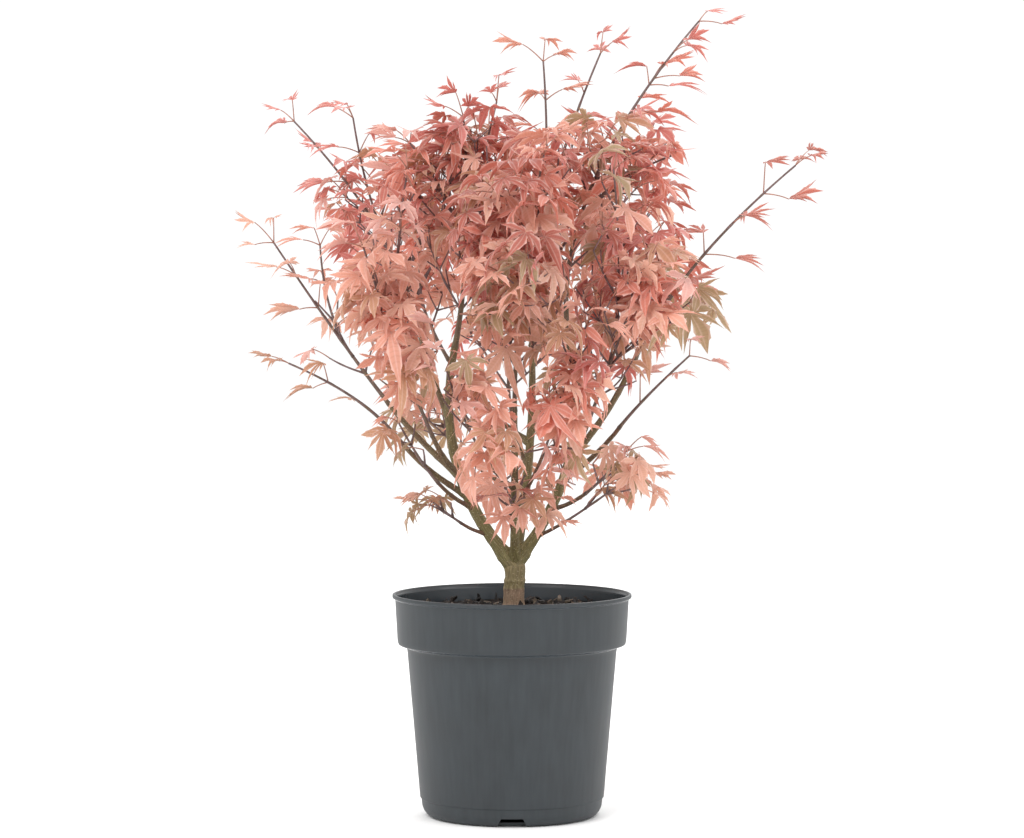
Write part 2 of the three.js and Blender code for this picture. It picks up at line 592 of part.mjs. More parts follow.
export default maple;
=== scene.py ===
# %% [markdown]
# # A young Japanese maple in a plastic nursery pot
#
# The plant is about 640 mm high: a tapered pot, a short trunk that forks just above the soil, thin boughs
# and a spreading crown of coral leaves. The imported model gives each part's place and size. Here each part
# gets its finish, and the foliage is grown again with finer twigs and real leaf shapes.
#
# All shapes are worked out with numpy in millimetres, and only the last step turns them into metres. The
# front of the plant faces -Y, and the origin is the centre of the pot's underside.

import bpy
import numpy as np
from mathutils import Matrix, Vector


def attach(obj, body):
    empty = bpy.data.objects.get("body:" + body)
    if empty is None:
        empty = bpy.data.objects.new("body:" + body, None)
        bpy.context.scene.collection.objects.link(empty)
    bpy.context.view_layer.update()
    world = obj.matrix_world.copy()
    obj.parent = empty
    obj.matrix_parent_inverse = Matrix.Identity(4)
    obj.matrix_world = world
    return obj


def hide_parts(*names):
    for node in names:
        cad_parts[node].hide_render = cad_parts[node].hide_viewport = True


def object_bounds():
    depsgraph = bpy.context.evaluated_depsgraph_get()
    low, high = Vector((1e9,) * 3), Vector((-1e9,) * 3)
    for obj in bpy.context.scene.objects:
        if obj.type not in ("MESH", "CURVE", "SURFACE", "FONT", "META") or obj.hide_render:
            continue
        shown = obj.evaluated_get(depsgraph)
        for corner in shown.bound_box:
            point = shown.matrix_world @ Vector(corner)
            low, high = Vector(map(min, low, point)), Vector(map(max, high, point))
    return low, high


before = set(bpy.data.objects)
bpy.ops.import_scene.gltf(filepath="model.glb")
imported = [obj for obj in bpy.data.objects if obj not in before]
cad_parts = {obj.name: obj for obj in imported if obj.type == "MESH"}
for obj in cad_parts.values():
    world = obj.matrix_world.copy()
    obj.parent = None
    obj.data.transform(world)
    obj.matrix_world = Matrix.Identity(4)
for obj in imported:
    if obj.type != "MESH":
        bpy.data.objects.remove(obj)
cad_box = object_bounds()
MM = 0.001
UP = np.array([0.0, 0.0, 1.0])
BODY = "root"
print("packed nodes:", len(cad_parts), "box in metres:", np.round(np.array(cad_box), 3).tolist())

# %% [markdown]
# ## The camera
#
# The photograph was taken with a long lens from a little above the rim of the pot: the rim's ellipse is
# flat, and the pot's sides hardly converge. A lens of about 127 mm from 2.85 m away gives both.

# %% The camera
CAMERA = {"lens": 126.6, "sensor": 36.0, "place": (0.0, -2.85, 0.444), "looks_down": 2.6}

camera_data = bpy.data.cameras.new("photo_camera")
camera_data.lens = CAMERA["lens"]
camera_data.sensor_width = CAMERA["sensor"]
camera = bpy.data.objects.new("photo_camera", camera_data)
camera.location = CAMERA["place"]
camera.rotation_euler = (np.radians(90 - CAMERA["looks_down"]), 0.0, 0.0)
bpy.context.collection.objects.link(camera)
bpy.context.scene.camera = camera
print("camera at", tuple(camera.location))

# %% [markdown]
# ## Colours and shader nodes
#
# A colour is written as an sRGB hex value, as a paint program shows it, and Blender counts in linear
# light. One function turns one into the other, and one function adds a shader node with its settings and
# links.

# %% Colours and nodes
def linear(hex_colour):
    """Linear red, green, blue and alpha: a dark channel over 12.92, a brighter one to the power of 2.4."""
    channels = np.array([int(hex_colour[place:place + 2], 16) for place in (1, 3, 5)]) / 255
    bright = ((channels + 0.055) / 1.055) ** 2.4
    return (*np.where(channels <= 0.04045, channels / 12.92, bright).tolist(), 1.0)


def add_node(tree, kind, inputs=None, stops=None, **settings):
    """
    Adds a shader node. An input is named or numbered, and gets a value, a link from a socket or a link from a
    node's first output. Only live sockets count: a Mix node has a hidden A and B for every type of data. The
    stops of a colour ramp are pairs of place and colour.
    """
    node = tree.nodes.new(kind)
    for name, value in settings.items():
        setattr(node, name, value)
    for name, value in (inputs or {}).items():
        matches = [socket for socket in node.inputs if socket.enabled and socket.name == name]
        target = matches[0] if matches else node.inputs[name]
        if isinstance(value, bpy.types.Node):
            value = [socket for socket in value.outputs if socket.enabled][0]
        if isinstance(value, bpy.types.NodeSocket):
            tree.links.new(value, target)
        else:
            target.default_value = value
    for place, (position, colour) in enumerate(stops or []):
        if place > 1:
            node.color_ramp.elements.new(position)
        node.color_ramp.elements[place].position = position
        node.color_ramp.elements[place].color = linear(colour)
    return node


def new_finish(name):
    """An empty material and its node tree."""
    material = bpy.data.materials.new(name)
    material.use_nodes = True
    material.node_tree.nodes.clear()
    return material, material.node_tree


print("a test colour, #808080, is", round(linear("#808080")[0], 3), "in linear light")

# %% [markdown]
# ## From arrays to a piece
#
# Every piece is made the same way: an array of points, arrays of faces that number those points, and
# whatever the material needs to know about each point. Tubes are the most common surface here, because
# trunk, boughs, twigs and leaf stalks are all profiles carried along a path.

# %% Pieces from arrays
def add_piece(name, points, faces, material, slot, facts=None, uv=None, smooth=True):
    """Joins points in mm and blocks of faces into one object. Facts are named values for each point."""
    corners = np.concatenate([block.ravel() for block in faces]).astype(np.int32)
    sizes = np.concatenate([np.full(len(block), block.shape[1]) for block in faces])
    starts = np.concatenate([[0], np.cumsum(sizes)[:-1]]).astype(np.int32)
    mesh = bpy.data.meshes.new(name)
    mesh.vertices.add(len(points))
    mesh.vertices.foreach_set("co", (points * MM).astype(np.float32).ravel())
    mesh.loops.add(len(corners))
    mesh.loops.foreach_set("vertex_index", corners)
    mesh.polygons.add(len(sizes))
    mesh.polygons.foreach_set("loop_start", starts)
    mesh.polygons.foreach_set("use_smooth", np.full(len(sizes), smooth))
    mesh.update(calc_edges=True)
    if uv is not None:
        mesh.uv_layers.new(name="UVMap").uv.foreach_set("vector", uv[corners].astype(np.float32).ravel())
    for fact, values in (facts or {}).items():
        kind, field = ("FLOAT_VECTOR", "vector") if values.ndim == 2 else ("FLOAT", "value")
        mesh.attributes.new(fact, kind, "POINT").data.foreach_set(field, values.astype(np.float32).ravel())
    mesh.validate()
    mesh.materials.append(material)
    piece = bpy.data.objects.new(name, mesh)
    bpy.context.collection.objects.link(piece)
    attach(piece, BODY)
    print(name, len(points), "points,", int((sizes - 2).sum()), "triangles")
    return piece


def repeated(faces, copies, points):
    """Blocks of faces for many copies of a shape, numbered on by the points that each copy has."""
    first_points = np.arange(copies)[:, None, None] * points
    return [(block[None] + first_points).reshape(-1, block.shape[1]) for block in faces]


# %% Rings and their faces
def unit(vectors):
    """Each vector divided by its length."""
    return vectors / np.linalg.norm(vectors, axis=-1, keepdims=True)


def bearings(count):
    """Angles in radians, evenly spaced round a full turn from 0."""
    return np.arange(count) / count * 2 * np.pi


def closed_faces(rings, columns):
    """
    The faces of a stack of rings whose points come first and are followed by two end points: four-sided faces
    between neighbouring rings, and triangles that close the first and the last ring.
    """
    column = np.arange(columns)
    beside = (column + 1) % columns
    low = np.arange(rings - 1)[:, None] * columns
    high, last = low + columns, rings * columns
    sides = np.stack([low + column, low + beside, high + beside, high + column], axis=-1).reshape(-1, 4)
    foot_cap = np.stack([beside, column, np.full(columns, last)], axis=1)
    tip_cap = np.stack([column + last - columns, beside + last - columns, np.full(columns, last + 1)], axis=1)
    return sides, np.concatenate([foot_cap, tip_cap])


print("3 rings of 8 points have", sum(len(block) for block in closed_faces(3, 8)), "faces")


# %% Tubes
def tube(path, radius, sides, relief=0.0):
    """
    A closed round surface carried along a path. A ring's point is the path's point plus the radius times
    (cos b * level + sin b * rising), where b is the bearing round the ring. Relief is added to the radius.
    The fact 'straight' is where the point would be if the path were straight, and 'girth' is the radius.
    """
    forward = unit(np.gradient(path, axis=0))
    reference = np.eye(3)[np.argmin(np.abs(path[-1] - path[0]))]
    level = unit(np.cross(forward, reference))
    rising = np.cross(forward, level)
    cosine, sine = np.cos(bearings(sides)), np.sin(bearings(sides))
    ring = cosine[None, :, None] * level[:, None] + sine[None, :, None] * rising[:, None]
    reach = (radius[:, None] + relief) * np.ones((1, sides))
    points = (path[:, None] + reach[..., None] * ring).reshape(-1, 3)
    steps = np.linalg.norm(np.diff(path, axis=0), axis=1)
    length = np.concatenate([[0], np.cumsum(steps)])
    straight = np.stack([reach * cosine, reach * sine, length[:, None] + 0 * reach], axis=-1).reshape(-1, 3)
    quads, triangles = closed_faces(len(path), sides)
    return {
        "points": np.concatenate([points, path[[0, -1]]]),
        "quads": quads,
        "triangles": triangles,
        "straight": np.concatenate([straight, [[0, 0, 0], [0, 0, length[-1]]]]),
        "girth": np.concatenate([np.repeat(radius, sides), radius[[0, -1]]]),
    }


def add_tubes(name, tubes, material, slot):
    """One piece from many tubes: each tube's faces are numbered on from the points of those before it."""
    starts = np.cumsum([0] + [len(one["points"]) for one in tubes[:-1]])
    facts = {kind: np.concatenate([one[kind] for one in tubes]) for kind in ("points", "straight", "girth")}
    faces = [
        np.concatenate([one[kind] + start for one, start in zip(tubes, starts)])
        for kind in ("quads", "triangles")
    ]
    points = facts.pop("points")
    facts["straight"] *= MM
    return add_piece(name, points, faces, material, slot, facts)


test_tube = tube(np.array([[0, 0, 0], [0, 0, 5], [0, 0, 10.0]]), np.full(3, 2.0), 8)
print("a straight tube of radius 2 reaches from", test_tube["points"].min(axis=0).round(1).tolist(),
      "to", test_tube["points"].max(axis=0).round(1).tolist())

# %% [markdown]
# ## The pot
#
# The real pot is an injection-moulded nursery container of 19 cm: a thin tapered wall, a deeper band under
# a rolled lip, a small step above the foot and notches that let water out. It could be modelled by spinning
# a curve with a modifier, but a lathe in numpy is shorter: one profile, turned round the axis. The corners
# of the profile are rounded first, by cutting each one off with a small arc.

# %% The pot's profile
POT_HEIGHT = 176.0
RIM_RADIUS = 95.0
BAND_FOOT = 134.8
BAND_TOP_RADIUS = 92.8
BAND_FOOT_RADIUS = 90.8
BODY_TOP_RADIUS = 83.2
BODY_FOOT_RADIUS = 73.1
FOOT_RADIUS = 71.5
FOOT_HEIGHT = 13.5
WALL = 1.5
FLOOR = 2.4
# Each corner of the wall, from the middle of the underside round to the middle of the floor inside:
# its distance from the axis, its height and the radius that rounds it.
POT_PROFILE = [
    (0.0, 0.0, 0.0),
    (FOOT_RADIUS - 4.5, 0.0, 3.0),
    (FOOT_RADIUS - 0.2, 6.0, 5.0),
    (FOOT_RADIUS + 0.5, FOOT_HEIGHT, 0.5),
    (BODY_FOOT_RADIUS, FOOT_HEIGHT + 0.9, 0.5),
    (BODY_TOP_RADIUS, BAND_FOOT - 3.0, 2.5),
    (BODY_TOP_RADIUS + 1.4, BAND_FOOT - 0.2, 1.2),
    (BAND_FOOT_RADIUS - 0.6, BAND_FOOT + 1.2, 1.2),
    (BAND_FOOT_RADIUS + 0.1, BAND_FOOT + 4.0, 2.0),
    (BAND_TOP_RADIUS, POT_HEIGHT - 4.0, 0.8),
    (RIM_RADIUS, POT_HEIGHT - 3.0, 0.8),
    (RIM_RADIUS, POT_HEIGHT - 0.2, 1.0),
    (RIM_RADIUS - 2.4, POT_HEIGHT, 0.9),
    (BAND_TOP_RADIUS - WALL, POT_HEIGHT - 3.0, 1.0),
    (BAND_FOOT_RADIUS - WALL, BAND_FOOT + 5.0, 2.0),
    (BODY_TOP_RADIUS - WALL, BAND_FOOT + 0.6, 2.0),
    (BODY_FOOT_RADIUS - WALL, FOOT_HEIGHT + 1.6, 1.0),
    (FOOT_RADIUS - WALL - 1.2, FLOOR, 2.0),
    (0.0, FLOOR, 0.0),
]
print("corners of the wall:", len(POT_PROFILE))

# %% Rounded corners
# A cut takes at most this share of the side that it shortens.
LONGEST_CUT = 0.45


def arc(start, control, tip, share):
    """Points on a quadratic curve: (1 - t)^2 start + 2t (1 - t) control + t^2 tip, with t the share."""
    return (1 - share) ** 2 * start + 2 * share * (1 - share) * control + share ** 2 * tip


def rounded(profile, steps=5):
    """Cuts each corner off by its radius on both sides and joins the cuts with an arc."""
    corners = np.array([corner[:2] for corner in profile])
    share = np.linspace(0, 1, steps)[:, None]
    outline = [corners[:1]]
    for before, corner, after, (_, _, radius) in zip(corners, corners[1:], corners[2:], profile[1:]):
        ways = [end - corner for end in (before, after)]
        cuts = [corner + way * min(LONGEST_CUT, radius / np.linalg.norm(way)) for way in ways]
        outline.append(arc(cuts[0], corner, cuts[1], share))
    return np.concatenate([*outline, corners[-1:]])


pot_outline = rounded(POT_PROFILE)
print("pot outline:", len(pot_outline), "points, widest and highest", pot_outline.max(axis=0).round(1))

# %% [markdown]
# The plastic is polypropylene, coloured through with a blue-grey pigment. A moulded wall isn't quite
# even: the pigment leaves faint vertical flow streaks, and the tool's texture breaks up the gloss, so the
# pot looks matte with soft, broad highlights. Polypropylene has an index of refraction near 1.49.

# %% Moulded polypropylene
def moulded_polypropylene():
    """Matte blue-grey plastic: broad mottling, vertical flow streaks, a fine moulded grain and a painted
    reflection inside.
    """
    material, tree = new_finish("moulded_polypropylene")
    place = add_node(tree, "ShaderNodeTexCoord").outputs["Object"]
    # Mottling about 30 mm across, and streaks about 4 mm wide and ten times as long.
    mottling = add_node(tree, "ShaderNodeTexNoise", {"Vector": place, "Scale": 33.0, "Detail": 4.0})
    stretched = add_node(tree, "ShaderNodeMapping", {"Vector": place, "Scale": (240.0, 240.0, 22.0)})
    streaks = add_node(tree, "ShaderNodeTexNoise", {"Vector": stretched, "Scale": 1.0, "Detail": 3.0})
    # The tool's grain is about 0.3 mm. It is drawn at 1 mm, because finer grain wouldn't show.
    grain = add_node(tree, "ShaderNodeTexNoise", {"Vector": place, "Scale": 1000.0, "Detail": 2.0})
    broad = add_node(tree, "ShaderNodeValToRGB", {"Fac": mottling}, [(0.3, "#23282B"), (0.7, "#2C3236")])
    fine = add_node(tree, "ShaderNodeValToRGB", {"Fac": streaks}, [(0.3, "#20262A"), (0.75, "#32383C")])
    colour = add_node(tree, "ShaderNodeMix", {"Factor": 0.4, "A": broad, "B": fine}, data_type="RGBA")
    # The inner wall faces the pot's axis. It was shaped by the polished core, so it is glossier,
    # and its lighter grey is a painted reflection.
    normal = add_node(tree, "ShaderNodeNewGeometry").outputs["Normal"]
    facing = add_node(tree, "ShaderNodeVectorMath", {0: normal, 1: place}, operation="DOT_PRODUCT")
    inside = add_node(tree, "ShaderNodeMapRange", {
        "Value": facing, "From Min": -0.03, "From Max": 0.0, "To Min": 1.0, "To Max": 0.0,
    })
    # A painted reflection: the inner wall is mixed towards a lighter grey.
    shades = {"Factor": inside, "A": colour, "B": linear("#383E43")}
    whole = add_node(tree, "ShaderNodeMix", shades, data_type="RGBA")
    matte = add_node(tree, "ShaderNodeMapRange", {"Value": mottling, "To Min": 0.42, "To Max": 0.56})
    rough = add_node(tree, "ShaderNodeMath", {0: inside, 1: -0.26, 2: matte}, operation="MULTIPLY_ADD")
    bump = add_node(tree, "ShaderNodeBump", {"Height": grain, "Strength": 0.12, "Distance": 0.0002})
    shader = add_node(tree, "ShaderNodeBsdfPrincipled", {
        "Base Color": whole, "Roughness": rough, "IOR": 1.49, "Normal": bump,
    })
    add_node(tree, "ShaderNodeOutputMaterial", {"Surface": shader})
    return material


pot_plastic = moulded_polypropylene()
print("pot finish:", len(pot_plastic.node_tree.nodes), "nodes")

# %% [markdown]
# The lathe turns the outline round the axis. A moulded wall this thin is never a perfect circle: very
# shallow flats run up its lower part, so the radius there changes by a few tenths of a millimetre. The
# drain notches are cut out afterwards with a Boolean, which is then applied, because a notch's walls run
# straight in while everything else on the pot is round.

# %% The pot's surface
POT_COLUMNS = 192
FLATS = {"count": 12, "depth": 0.35, "clear_of_band": 8.0, "clear_of_foot": 1.0}


def shallow_flats(height, bearing):
    """Inwards by the depth times |sin(count * b)|: 24 faint edges that fade out at the band and the foot."""
    below_band = np.clip((BAND_FOOT - FLATS["clear_of_band"] - height) / 30, 0, 1)
    above_foot = np.clip((height - FOOT_HEIGHT - FLATS["clear_of_foot"]) / 6, 0, 1)
    return -FLATS["depth"] * np.abs(np.sin(FLATS["count"] * bearing)) * below_band * above_foot


def lathe(outline, columns, ripple):
    """Turns an outline round the axis: x = r cos b, y = r sin b. Both its ends lie on the axis."""
    bearing = bearings(columns)
    height = outline[1:-1, 1:] * np.ones((1, columns))
    radius = outline[1:-1, :1] + ripple(height, bearing)
    points = np.stack([radius * np.cos(bearing), radius * np.sin(bearing), height], axis=-1).reshape(-1, 3)
    ends = np.array([[0, 0, outline[0, 1]], [0, 0, outline[-1, 1]]])
    return np.concatenate([points, ends]), closed_faces(len(outline) - 2, columns)


pot = add_piece("nursery_pot", *lathe(pot_outline, POT_COLUMNS, shallow_flats), pot_plastic, "pot")

# %% The drain notches
NOTCH = {"count": 3, "foot_width": 24.5, "top_width": 17.0, "height": 6.6, "depth": 14.0}


def notch_block(bearing):
    """A block with the notch's trapezoid outline, set across the foot of the wall at a bearing."""
    half_foot, half_top, top = NOTCH["foot_width"] / 2, NOTCH["top_width"] / 2, NOTCH["height"]
    outline = np.array([[-half_foot, -1], [half_foot, -1], [half_top, top], [-half_top, top]])
    ends = [FOOT_RADIUS + 3, FOOT_RADIUS + 3 - NOTCH["depth"]]
    points = np.array([[x, -end, z] for end in ends for x, z in outline])
    turn = np.array([[np.cos(bearing), -np.sin(bearing)], [np.sin(bearing), np.cos(bearing)]])
    points[:, :2] = points[:, :2] @ turn.T
    return points


def cut_away(piece, points, faces):
    """Subtracts the solid that the points and faces make, and keeps the result as the piece's own mesh."""
    mesh = bpy.data.meshes.new("cutter")
    mesh.from_pydata((points * MM).tolist(), [], faces.tolist())
    cutter = bpy.data.objects.new("cutter", mesh)
    bpy.context.collection.objects.link(cutter)
    modifier = piece.modifiers.new("cut", "BOOLEAN")
    modifier.operation = "DIFFERENCE"
    modifier.solver = "EXACT"
    modifier.object = cutter
    evaluated = piece.evaluated_get(bpy.context.evaluated_depsgraph_get())
    cut_mesh = bpy.data.meshes.new_from_object(evaluated)
    piece.modifiers.clear()
    piece.data = cut_mesh
    bpy.data.objects.remove(cutter)


block_points = np.concatenate([notch_block(bearing) for bearing in bearings(NOTCH["count"])])
block_quads = np.array([[0, 1, 2, 3], [7, 6, 5, 4], [4, 5, 1, 0], [5, 6, 2, 1], [6, 7, 3, 2], [7, 4, 0, 3]])
cut_away(pot, block_points, *repeated([block_quads], NOTCH["count"], 8))
pot.data.polygons.foreach_set("use_smooth", np.full(len(pot.data.polygons), True))
pot.data.set_sharp_from_angle(angle=np.radians(38))
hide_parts("pot")
print("pot after the notches:", len(pot.data.polygons), "faces")

# %% [markdown]
# ## The soil
#
# The pot is filled with peat compost under a loose top layer of bark chips. From outside only the top
# shows, so the soil is a disc with an uneven top, a rim that lies against the wall and a flat underside.
# The top's height is a sum of sine waves in many directions, which looks like noise and needs no tables,
# and it rises a little towards the trunk.

# %% Soil
SOIL_TOP = 163.4
SOIL_RADIUS = 89.6
SOIL_FOOT = 136.0
SOIL_COLUMNS, SOIL_RINGS = 160, 54
MOUND = {"height": 2.2, "radius": 26.0}


def waves(points, size, seed, count=9):
    """A smooth noise from -1 to 1: the mean of sine waves about one size long, in seeded directions."""
    chance = np.random.default_rng(seed)
    directions = unit(chance.normal(size=(count, points.shape[-1])))
    lengths = size * chance.uniform(0.6, 1.7, count)
    phases = chance.uniform(0, 2 * np.pi, count)
    total = np.sin(points @ (directions / lengths[:, None] * 2 * np.pi).T + phases).sum(axis=-1)
    return total / np.sqrt(count)


def soil_height(x, y):
    """The soil's top: two sizes of waves, and a low mound round the trunk."""
    place = np.stack([x, y], axis=-1)
    mound = MOUND["height"] * np.exp(-(np.hypot(x, y) / MOUND["radius"]) ** 2)
    return SOIL_TOP - 1.0 + mound + 1.0 * waves(place, 34, 5) + 0.55 * waves(place, 9, 6)


def soil_surface():
    """Rings (r cos b, r sin b, height): one at the foot, and then from the wall over the top to the axis."""
    radius = (np.linspace(0, 1, SOIL_RINGS + 1)[1:] ** 0.8 * SOIL_RADIUS)[::-1, None]
    x, y = radius * np.cos(bearings(SOIL_COLUMNS)), radius * np.sin(bearings(SOIL_COLUMNS))
    top = np.stack([x, y, soil_height(x, y)], axis=-1)
    foot = top[:1] * [0.94, 0.94, 0] + [0, 0, SOIL_FOOT]
    points = np.concatenate([foot, top]).reshape(-1, 3)
    ends = [[0, 0, SOIL_FOOT], [0, 0, float(soil_height(0.0, 0.0))]]
    return np.concatenate([points, ends]), closed_faces(SOIL_RINGS + 1, SOIL_COLUMNS)


soil_points, soil_faces = soil_surface()
print("soil:", len(soil_points), "points, highest", soil_points[:, 2].max().round(1), "mm")


# %% Peat compost
def peat_compost():
    """Damp peat: nearly black, crumbly at 2 mm, with lighter fibres."""
    material, tree = new_finish("peat_compost")
    place = add_node(tree, "ShaderNodeTexCoord").outputs["Object"]
    crumbs = add_node(tree, "ShaderNodeTexNoise", {"Vector": place, "Scale": 420.0, "Detail": 6.0})
    patches = add_node(tree, "ShaderNodeTexNoise", {"Vector": place, "Scale": 60.0, "Detail": 3.0})
    fibres = [(0.35, "#181413"), (0.55, "#2A2421"), (0.78, "#4E4439")]
    fine = add_node(tree, "ShaderNodeValToRGB", {"Fac": crumbs}, fibres)
    shades = {"Factor": patches, "A": linear("#1F1A18"), "B": fine}
    colour = add_node(tree, "ShaderNodeMix", shades, data_type="RGBA")
    bump = add_node(tree, "ShaderNodeBump", {"Height": crumbs, "Strength": 0.9, "Distance": 0.002})
    shader = add_node(tree, "ShaderNodeBsdfPrincipled", {
        "Base Color": colour, "Roughness": 0.95, "Specular IOR Level": 0.2, "Normal": bump,
    })
    add_node(tree, "ShaderNodeOutputMaterial", {"Surface": shader})
    return material


soil = add_piece("peat_soil", soil_points, soil_faces, peat_compost(), "soil")
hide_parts("soil")

# %% [markdown]
# The chips are flat, broken slivers of pine bark. Each is a six-cornered slab whose corners are pushed
# about, laid on the soil with a random turn and tilt, and some stand on edge. Chips of three browns are
# three pieces, so that each has one plain wood colour.

# %% Bark chips
# Each kind of chip: its colour and how many there are.
CHIPS = {
    "dark_bark_chips": ("#1D1918", 210),
    "brown_bark_chips": ("#362E29", 130),
    "tan_bark_chips": ("#857766", 70),
}
# The least and the most of a chip's half length, half width, half thickness and share of its corners' reach.
HALF_LENGTH, HALF_WIDTH, HALF_THICKNESS, CORNER_REACH = (2.2, 6.0), (1.2, 2.8), (0.4, 1.0), (0.65, 1.2)
# Chips tilt by chance in radians, and this share of them stands nearly on edge.
CHIP_TILT, ON_EDGE_SHARE, ON_EDGE_TILT = 0.45, 0.16, 0.9
CHIP_CORNERS = 6


def bark_chips(count, seed):
    """Slabs with a hexagon outline above and below: corner = centre + turned (length, width, thickness)."""
    chance = np.random.default_rng(seed)
    outline = np.stack([np.cos(bearings(CHIP_CORNERS)), np.sin(bearings(CHIP_CORNERS))], axis=-1)
    outline = outline[None] * chance.uniform(*CORNER_REACH, (count, CHIP_CORNERS, 1))
    size = np.stack([chance.uniform(*HALF_LENGTH, count), chance.uniform(*HALF_WIDTH, count)], axis=-1)
    flat = outline * size[:, None]
    half = chance.uniform(*HALF_THICKNESS, (count, 1))[:, None] * np.ones((1, CHIP_CORNERS, 1))
    below, above = np.concatenate([flat, -half], axis=-1), np.concatenate([flat * 0.82, half], axis=-1)
    corners = np.concatenate([below, above], axis=1)
    turn = chance.uniform(0, 2 * np.pi, count)
    tilt = chance.normal(0, CHIP_TILT, count) + (chance.random(count) < ON_EDGE_SHARE) * ON_EDGE_TILT
    along = np.stack([np.cos(turn) * np.cos(tilt), np.sin(turn) * np.cos(tilt), np.sin(tilt)], axis=-1)
    across = np.stack([-np.sin(turn), np.cos(turn), np.zeros(count)], axis=-1)
    normal = np.cross(along, across)
    # No chip lies within a fifth of the soil's radius of the axis, where the trunk stands.
    radius = np.sqrt(chance.uniform(0.05, 1, count)) * (SOIL_RADIUS - 6)
    place = chance.uniform(0, 2 * np.pi, count)
    x, y = radius * np.cos(place), radius * np.sin(place)
    lift = 0.5 + size[:, 0] * np.abs(np.sin(tilt)) * 0.55
    centre = np.stack([x, y, soil_height(x, y) + lift], axis=-1)
    points = centre[:, None] + corners[..., :1] * along[:, None] + corners[..., 1:2] * across[:, None]
    points = points + corners[..., 2:] * normal[:, None]
    ring, above = np.arange(CHIP_CORNERS), np.arange(CHIP_CORNERS) + CHIP_CORNERS
    sides = np.stack([ring, np.roll(ring, -1), np.roll(above, -1), above], axis=1)
    return points.reshape(-1, 3), repeated([sides, np.stack([ring[::-1], above])], count, 2 * CHIP_CORNERS)


print("chips:", sum(count for _, count in CHIPS.values()))


# %% Pine bark
def pine_bark_chip(name, hex_colour):
    """Weathered bark: one brown with darker fibres about 1.4 mm apart."""
    material, tree = new_finish(name)
    place = add_node(tree, "ShaderNodeTexCoord").outputs["Object"]
    fibres = add_node(tree, "ShaderNodeTexNoise", {"Vector": place, "Scale": 700.0, "Detail": 4.0})
    shades = {"Factor": fibres, "A": linear(hex_colour), "B": linear("#191615")}
    colour = add_node(tree, "ShaderNodeMix", shades, data_type="RGBA")
    bump = add_node(tree, "ShaderNodeBump", {"Height": fibres, "Strength": 0.6, "Distance": 0.0008})
    shader = add_node(tree, "ShaderNodeBsdfPrincipled", {
        "Base Color": colour, "Roughness": 0.88, "Normal": bump,
    })
    add_node(tree, "ShaderNodeOutputMaterial", {"Surface": shader})
    return material


CHIP_SEED = 40
for seed, (name, (hex_colour, count)) in enumerate(CHIPS.items(), start=CHIP_SEED):
    add_piece(name, *bark_chips(count, seed), pine_bark_chip(name, hex_colour), "soil", smooth=False)

# %% [markdown]
# ## Trunk and boughs
#
# The trunk is a straight stem from the soil to the fork. Each bough leaves another limb at a share of that
# limb's length and runs to its own tip on a curve that hangs below the straight line before it turns up.
# These are the same tables as in the solid model, so every bough is where its solid is.

# %% The limbs
TRUNK = {
    "foot": (1.4, 0.0, 163.7), "fork": (2.2, 0.4, 204.0), "radius": 8.1, "fork_radius": 9.2,
    "flare": 2.2, "flare_height": 7.0, "graft": 16.5,
}
# Name, the limb it leaves, the share of that limb, its tip, its sag and its radii at foot and tip.
BOUGHS = [
    ("left_bough", "trunk", 0.86, (-45, -10, 372), 0.13, (5.3, 2.7)),
    ("right_bough", "trunk", 0.9, (46, 0, 372), 0.12, (4.7, 2.5)),
    ("back_bough", "trunk", 0.94, (16, 38, 372), 0.08, (4.3, 2.4)),
    ("front_bough", "trunk", 0.93, (2, -58, 324), 0.1, (3.9, 2.1)),
    ("low_left_bough", "left_bough", 0.17, (-40, -16, 233), 0.05, (1.6, 1.2)),
    ("far_left_low_bough", "left_bough", 0.36, (-92, -32, 304), 0.05, (2.5, 1.7)),
    ("far_left_bough", "left_bough", 0.45, (-98, 14, 326), 0.03, (2.7, 1.9)),
    ("upper_left_bough", "left_bough", 0.7, (-76, 22, 392), 0.04, (2.4, 1.7)),
    ("front_left_bough", "left_bough", 0.46, (-62, -54, 304), 0.06, (2.4, 1.7)),
    ("low_right_bough", "right_bough", 0.14, (42, -14, 234), 0.02, (1.6, 1.2)),
    ("right_low_bough", "right_bough", 0.42, (84, -42, 310), 0.04, (2.3, 1.6)),
    ("far_right_bough", "right_bough", 0.5, (98, 10, 362), 0.04, (2.9, 2.0)),
    ("front_right_bough", "right_bough", 0.54, (60, -52, 316), 0.05, (2.4, 1.7)),
    ("low_back_bough", "back_bough", 0.24, (-2, 44, 250), 0.04, (1.6, 1.2)),
    ("far_back_bough", "back_bough", 0.45, (0, 80, 314), 0.06, (2.4, 1.7)),
    ("back_left_bough", "back_bough", 0.56, (-52, 74, 360), 0.06, (2.4, 1.7)),
    ("back_right_bough", "back_bough", 0.62, (66, 70, 356), 0.06, (2.4, 1.7)),
    ("low_front_bough", "front_bough", 0.2, (-2, -36, 242), 0.04, (1.5, 1.1)),
    ("inner_left_bough", "left_bough", 0.3, (-58, -32, 266), 0.05, (1.9, 1.4)),
    ("inner_right_bough", "right_bough", 0.28, (58, -36, 258), 0.04, (1.9, 1.4)),
    ("inner_front_bough", "front_bough", 0.42, (24, -66, 290), 0.04, (1.8, 1.3)),
    ("inner_front_left_bough", "front_bough", 0.54, (-22, -72, 290), 0.04, (1.8, 1.3)),
    ("inner_back_bough", "back_bough", 0.34, (-26, 50, 272), 0.05, (1.9, 1.4)),
]
print("boughs in the table:", len(BOUGHS))

# %% Curves
PATH_POINTS = 49


def resampled(path, places, along):
    """The path's points at some places, where 'along' gives the place of each point that it has."""
    return np.stack([np.interp(places, along, path[:, axis]) for axis in range(3)], axis=1)


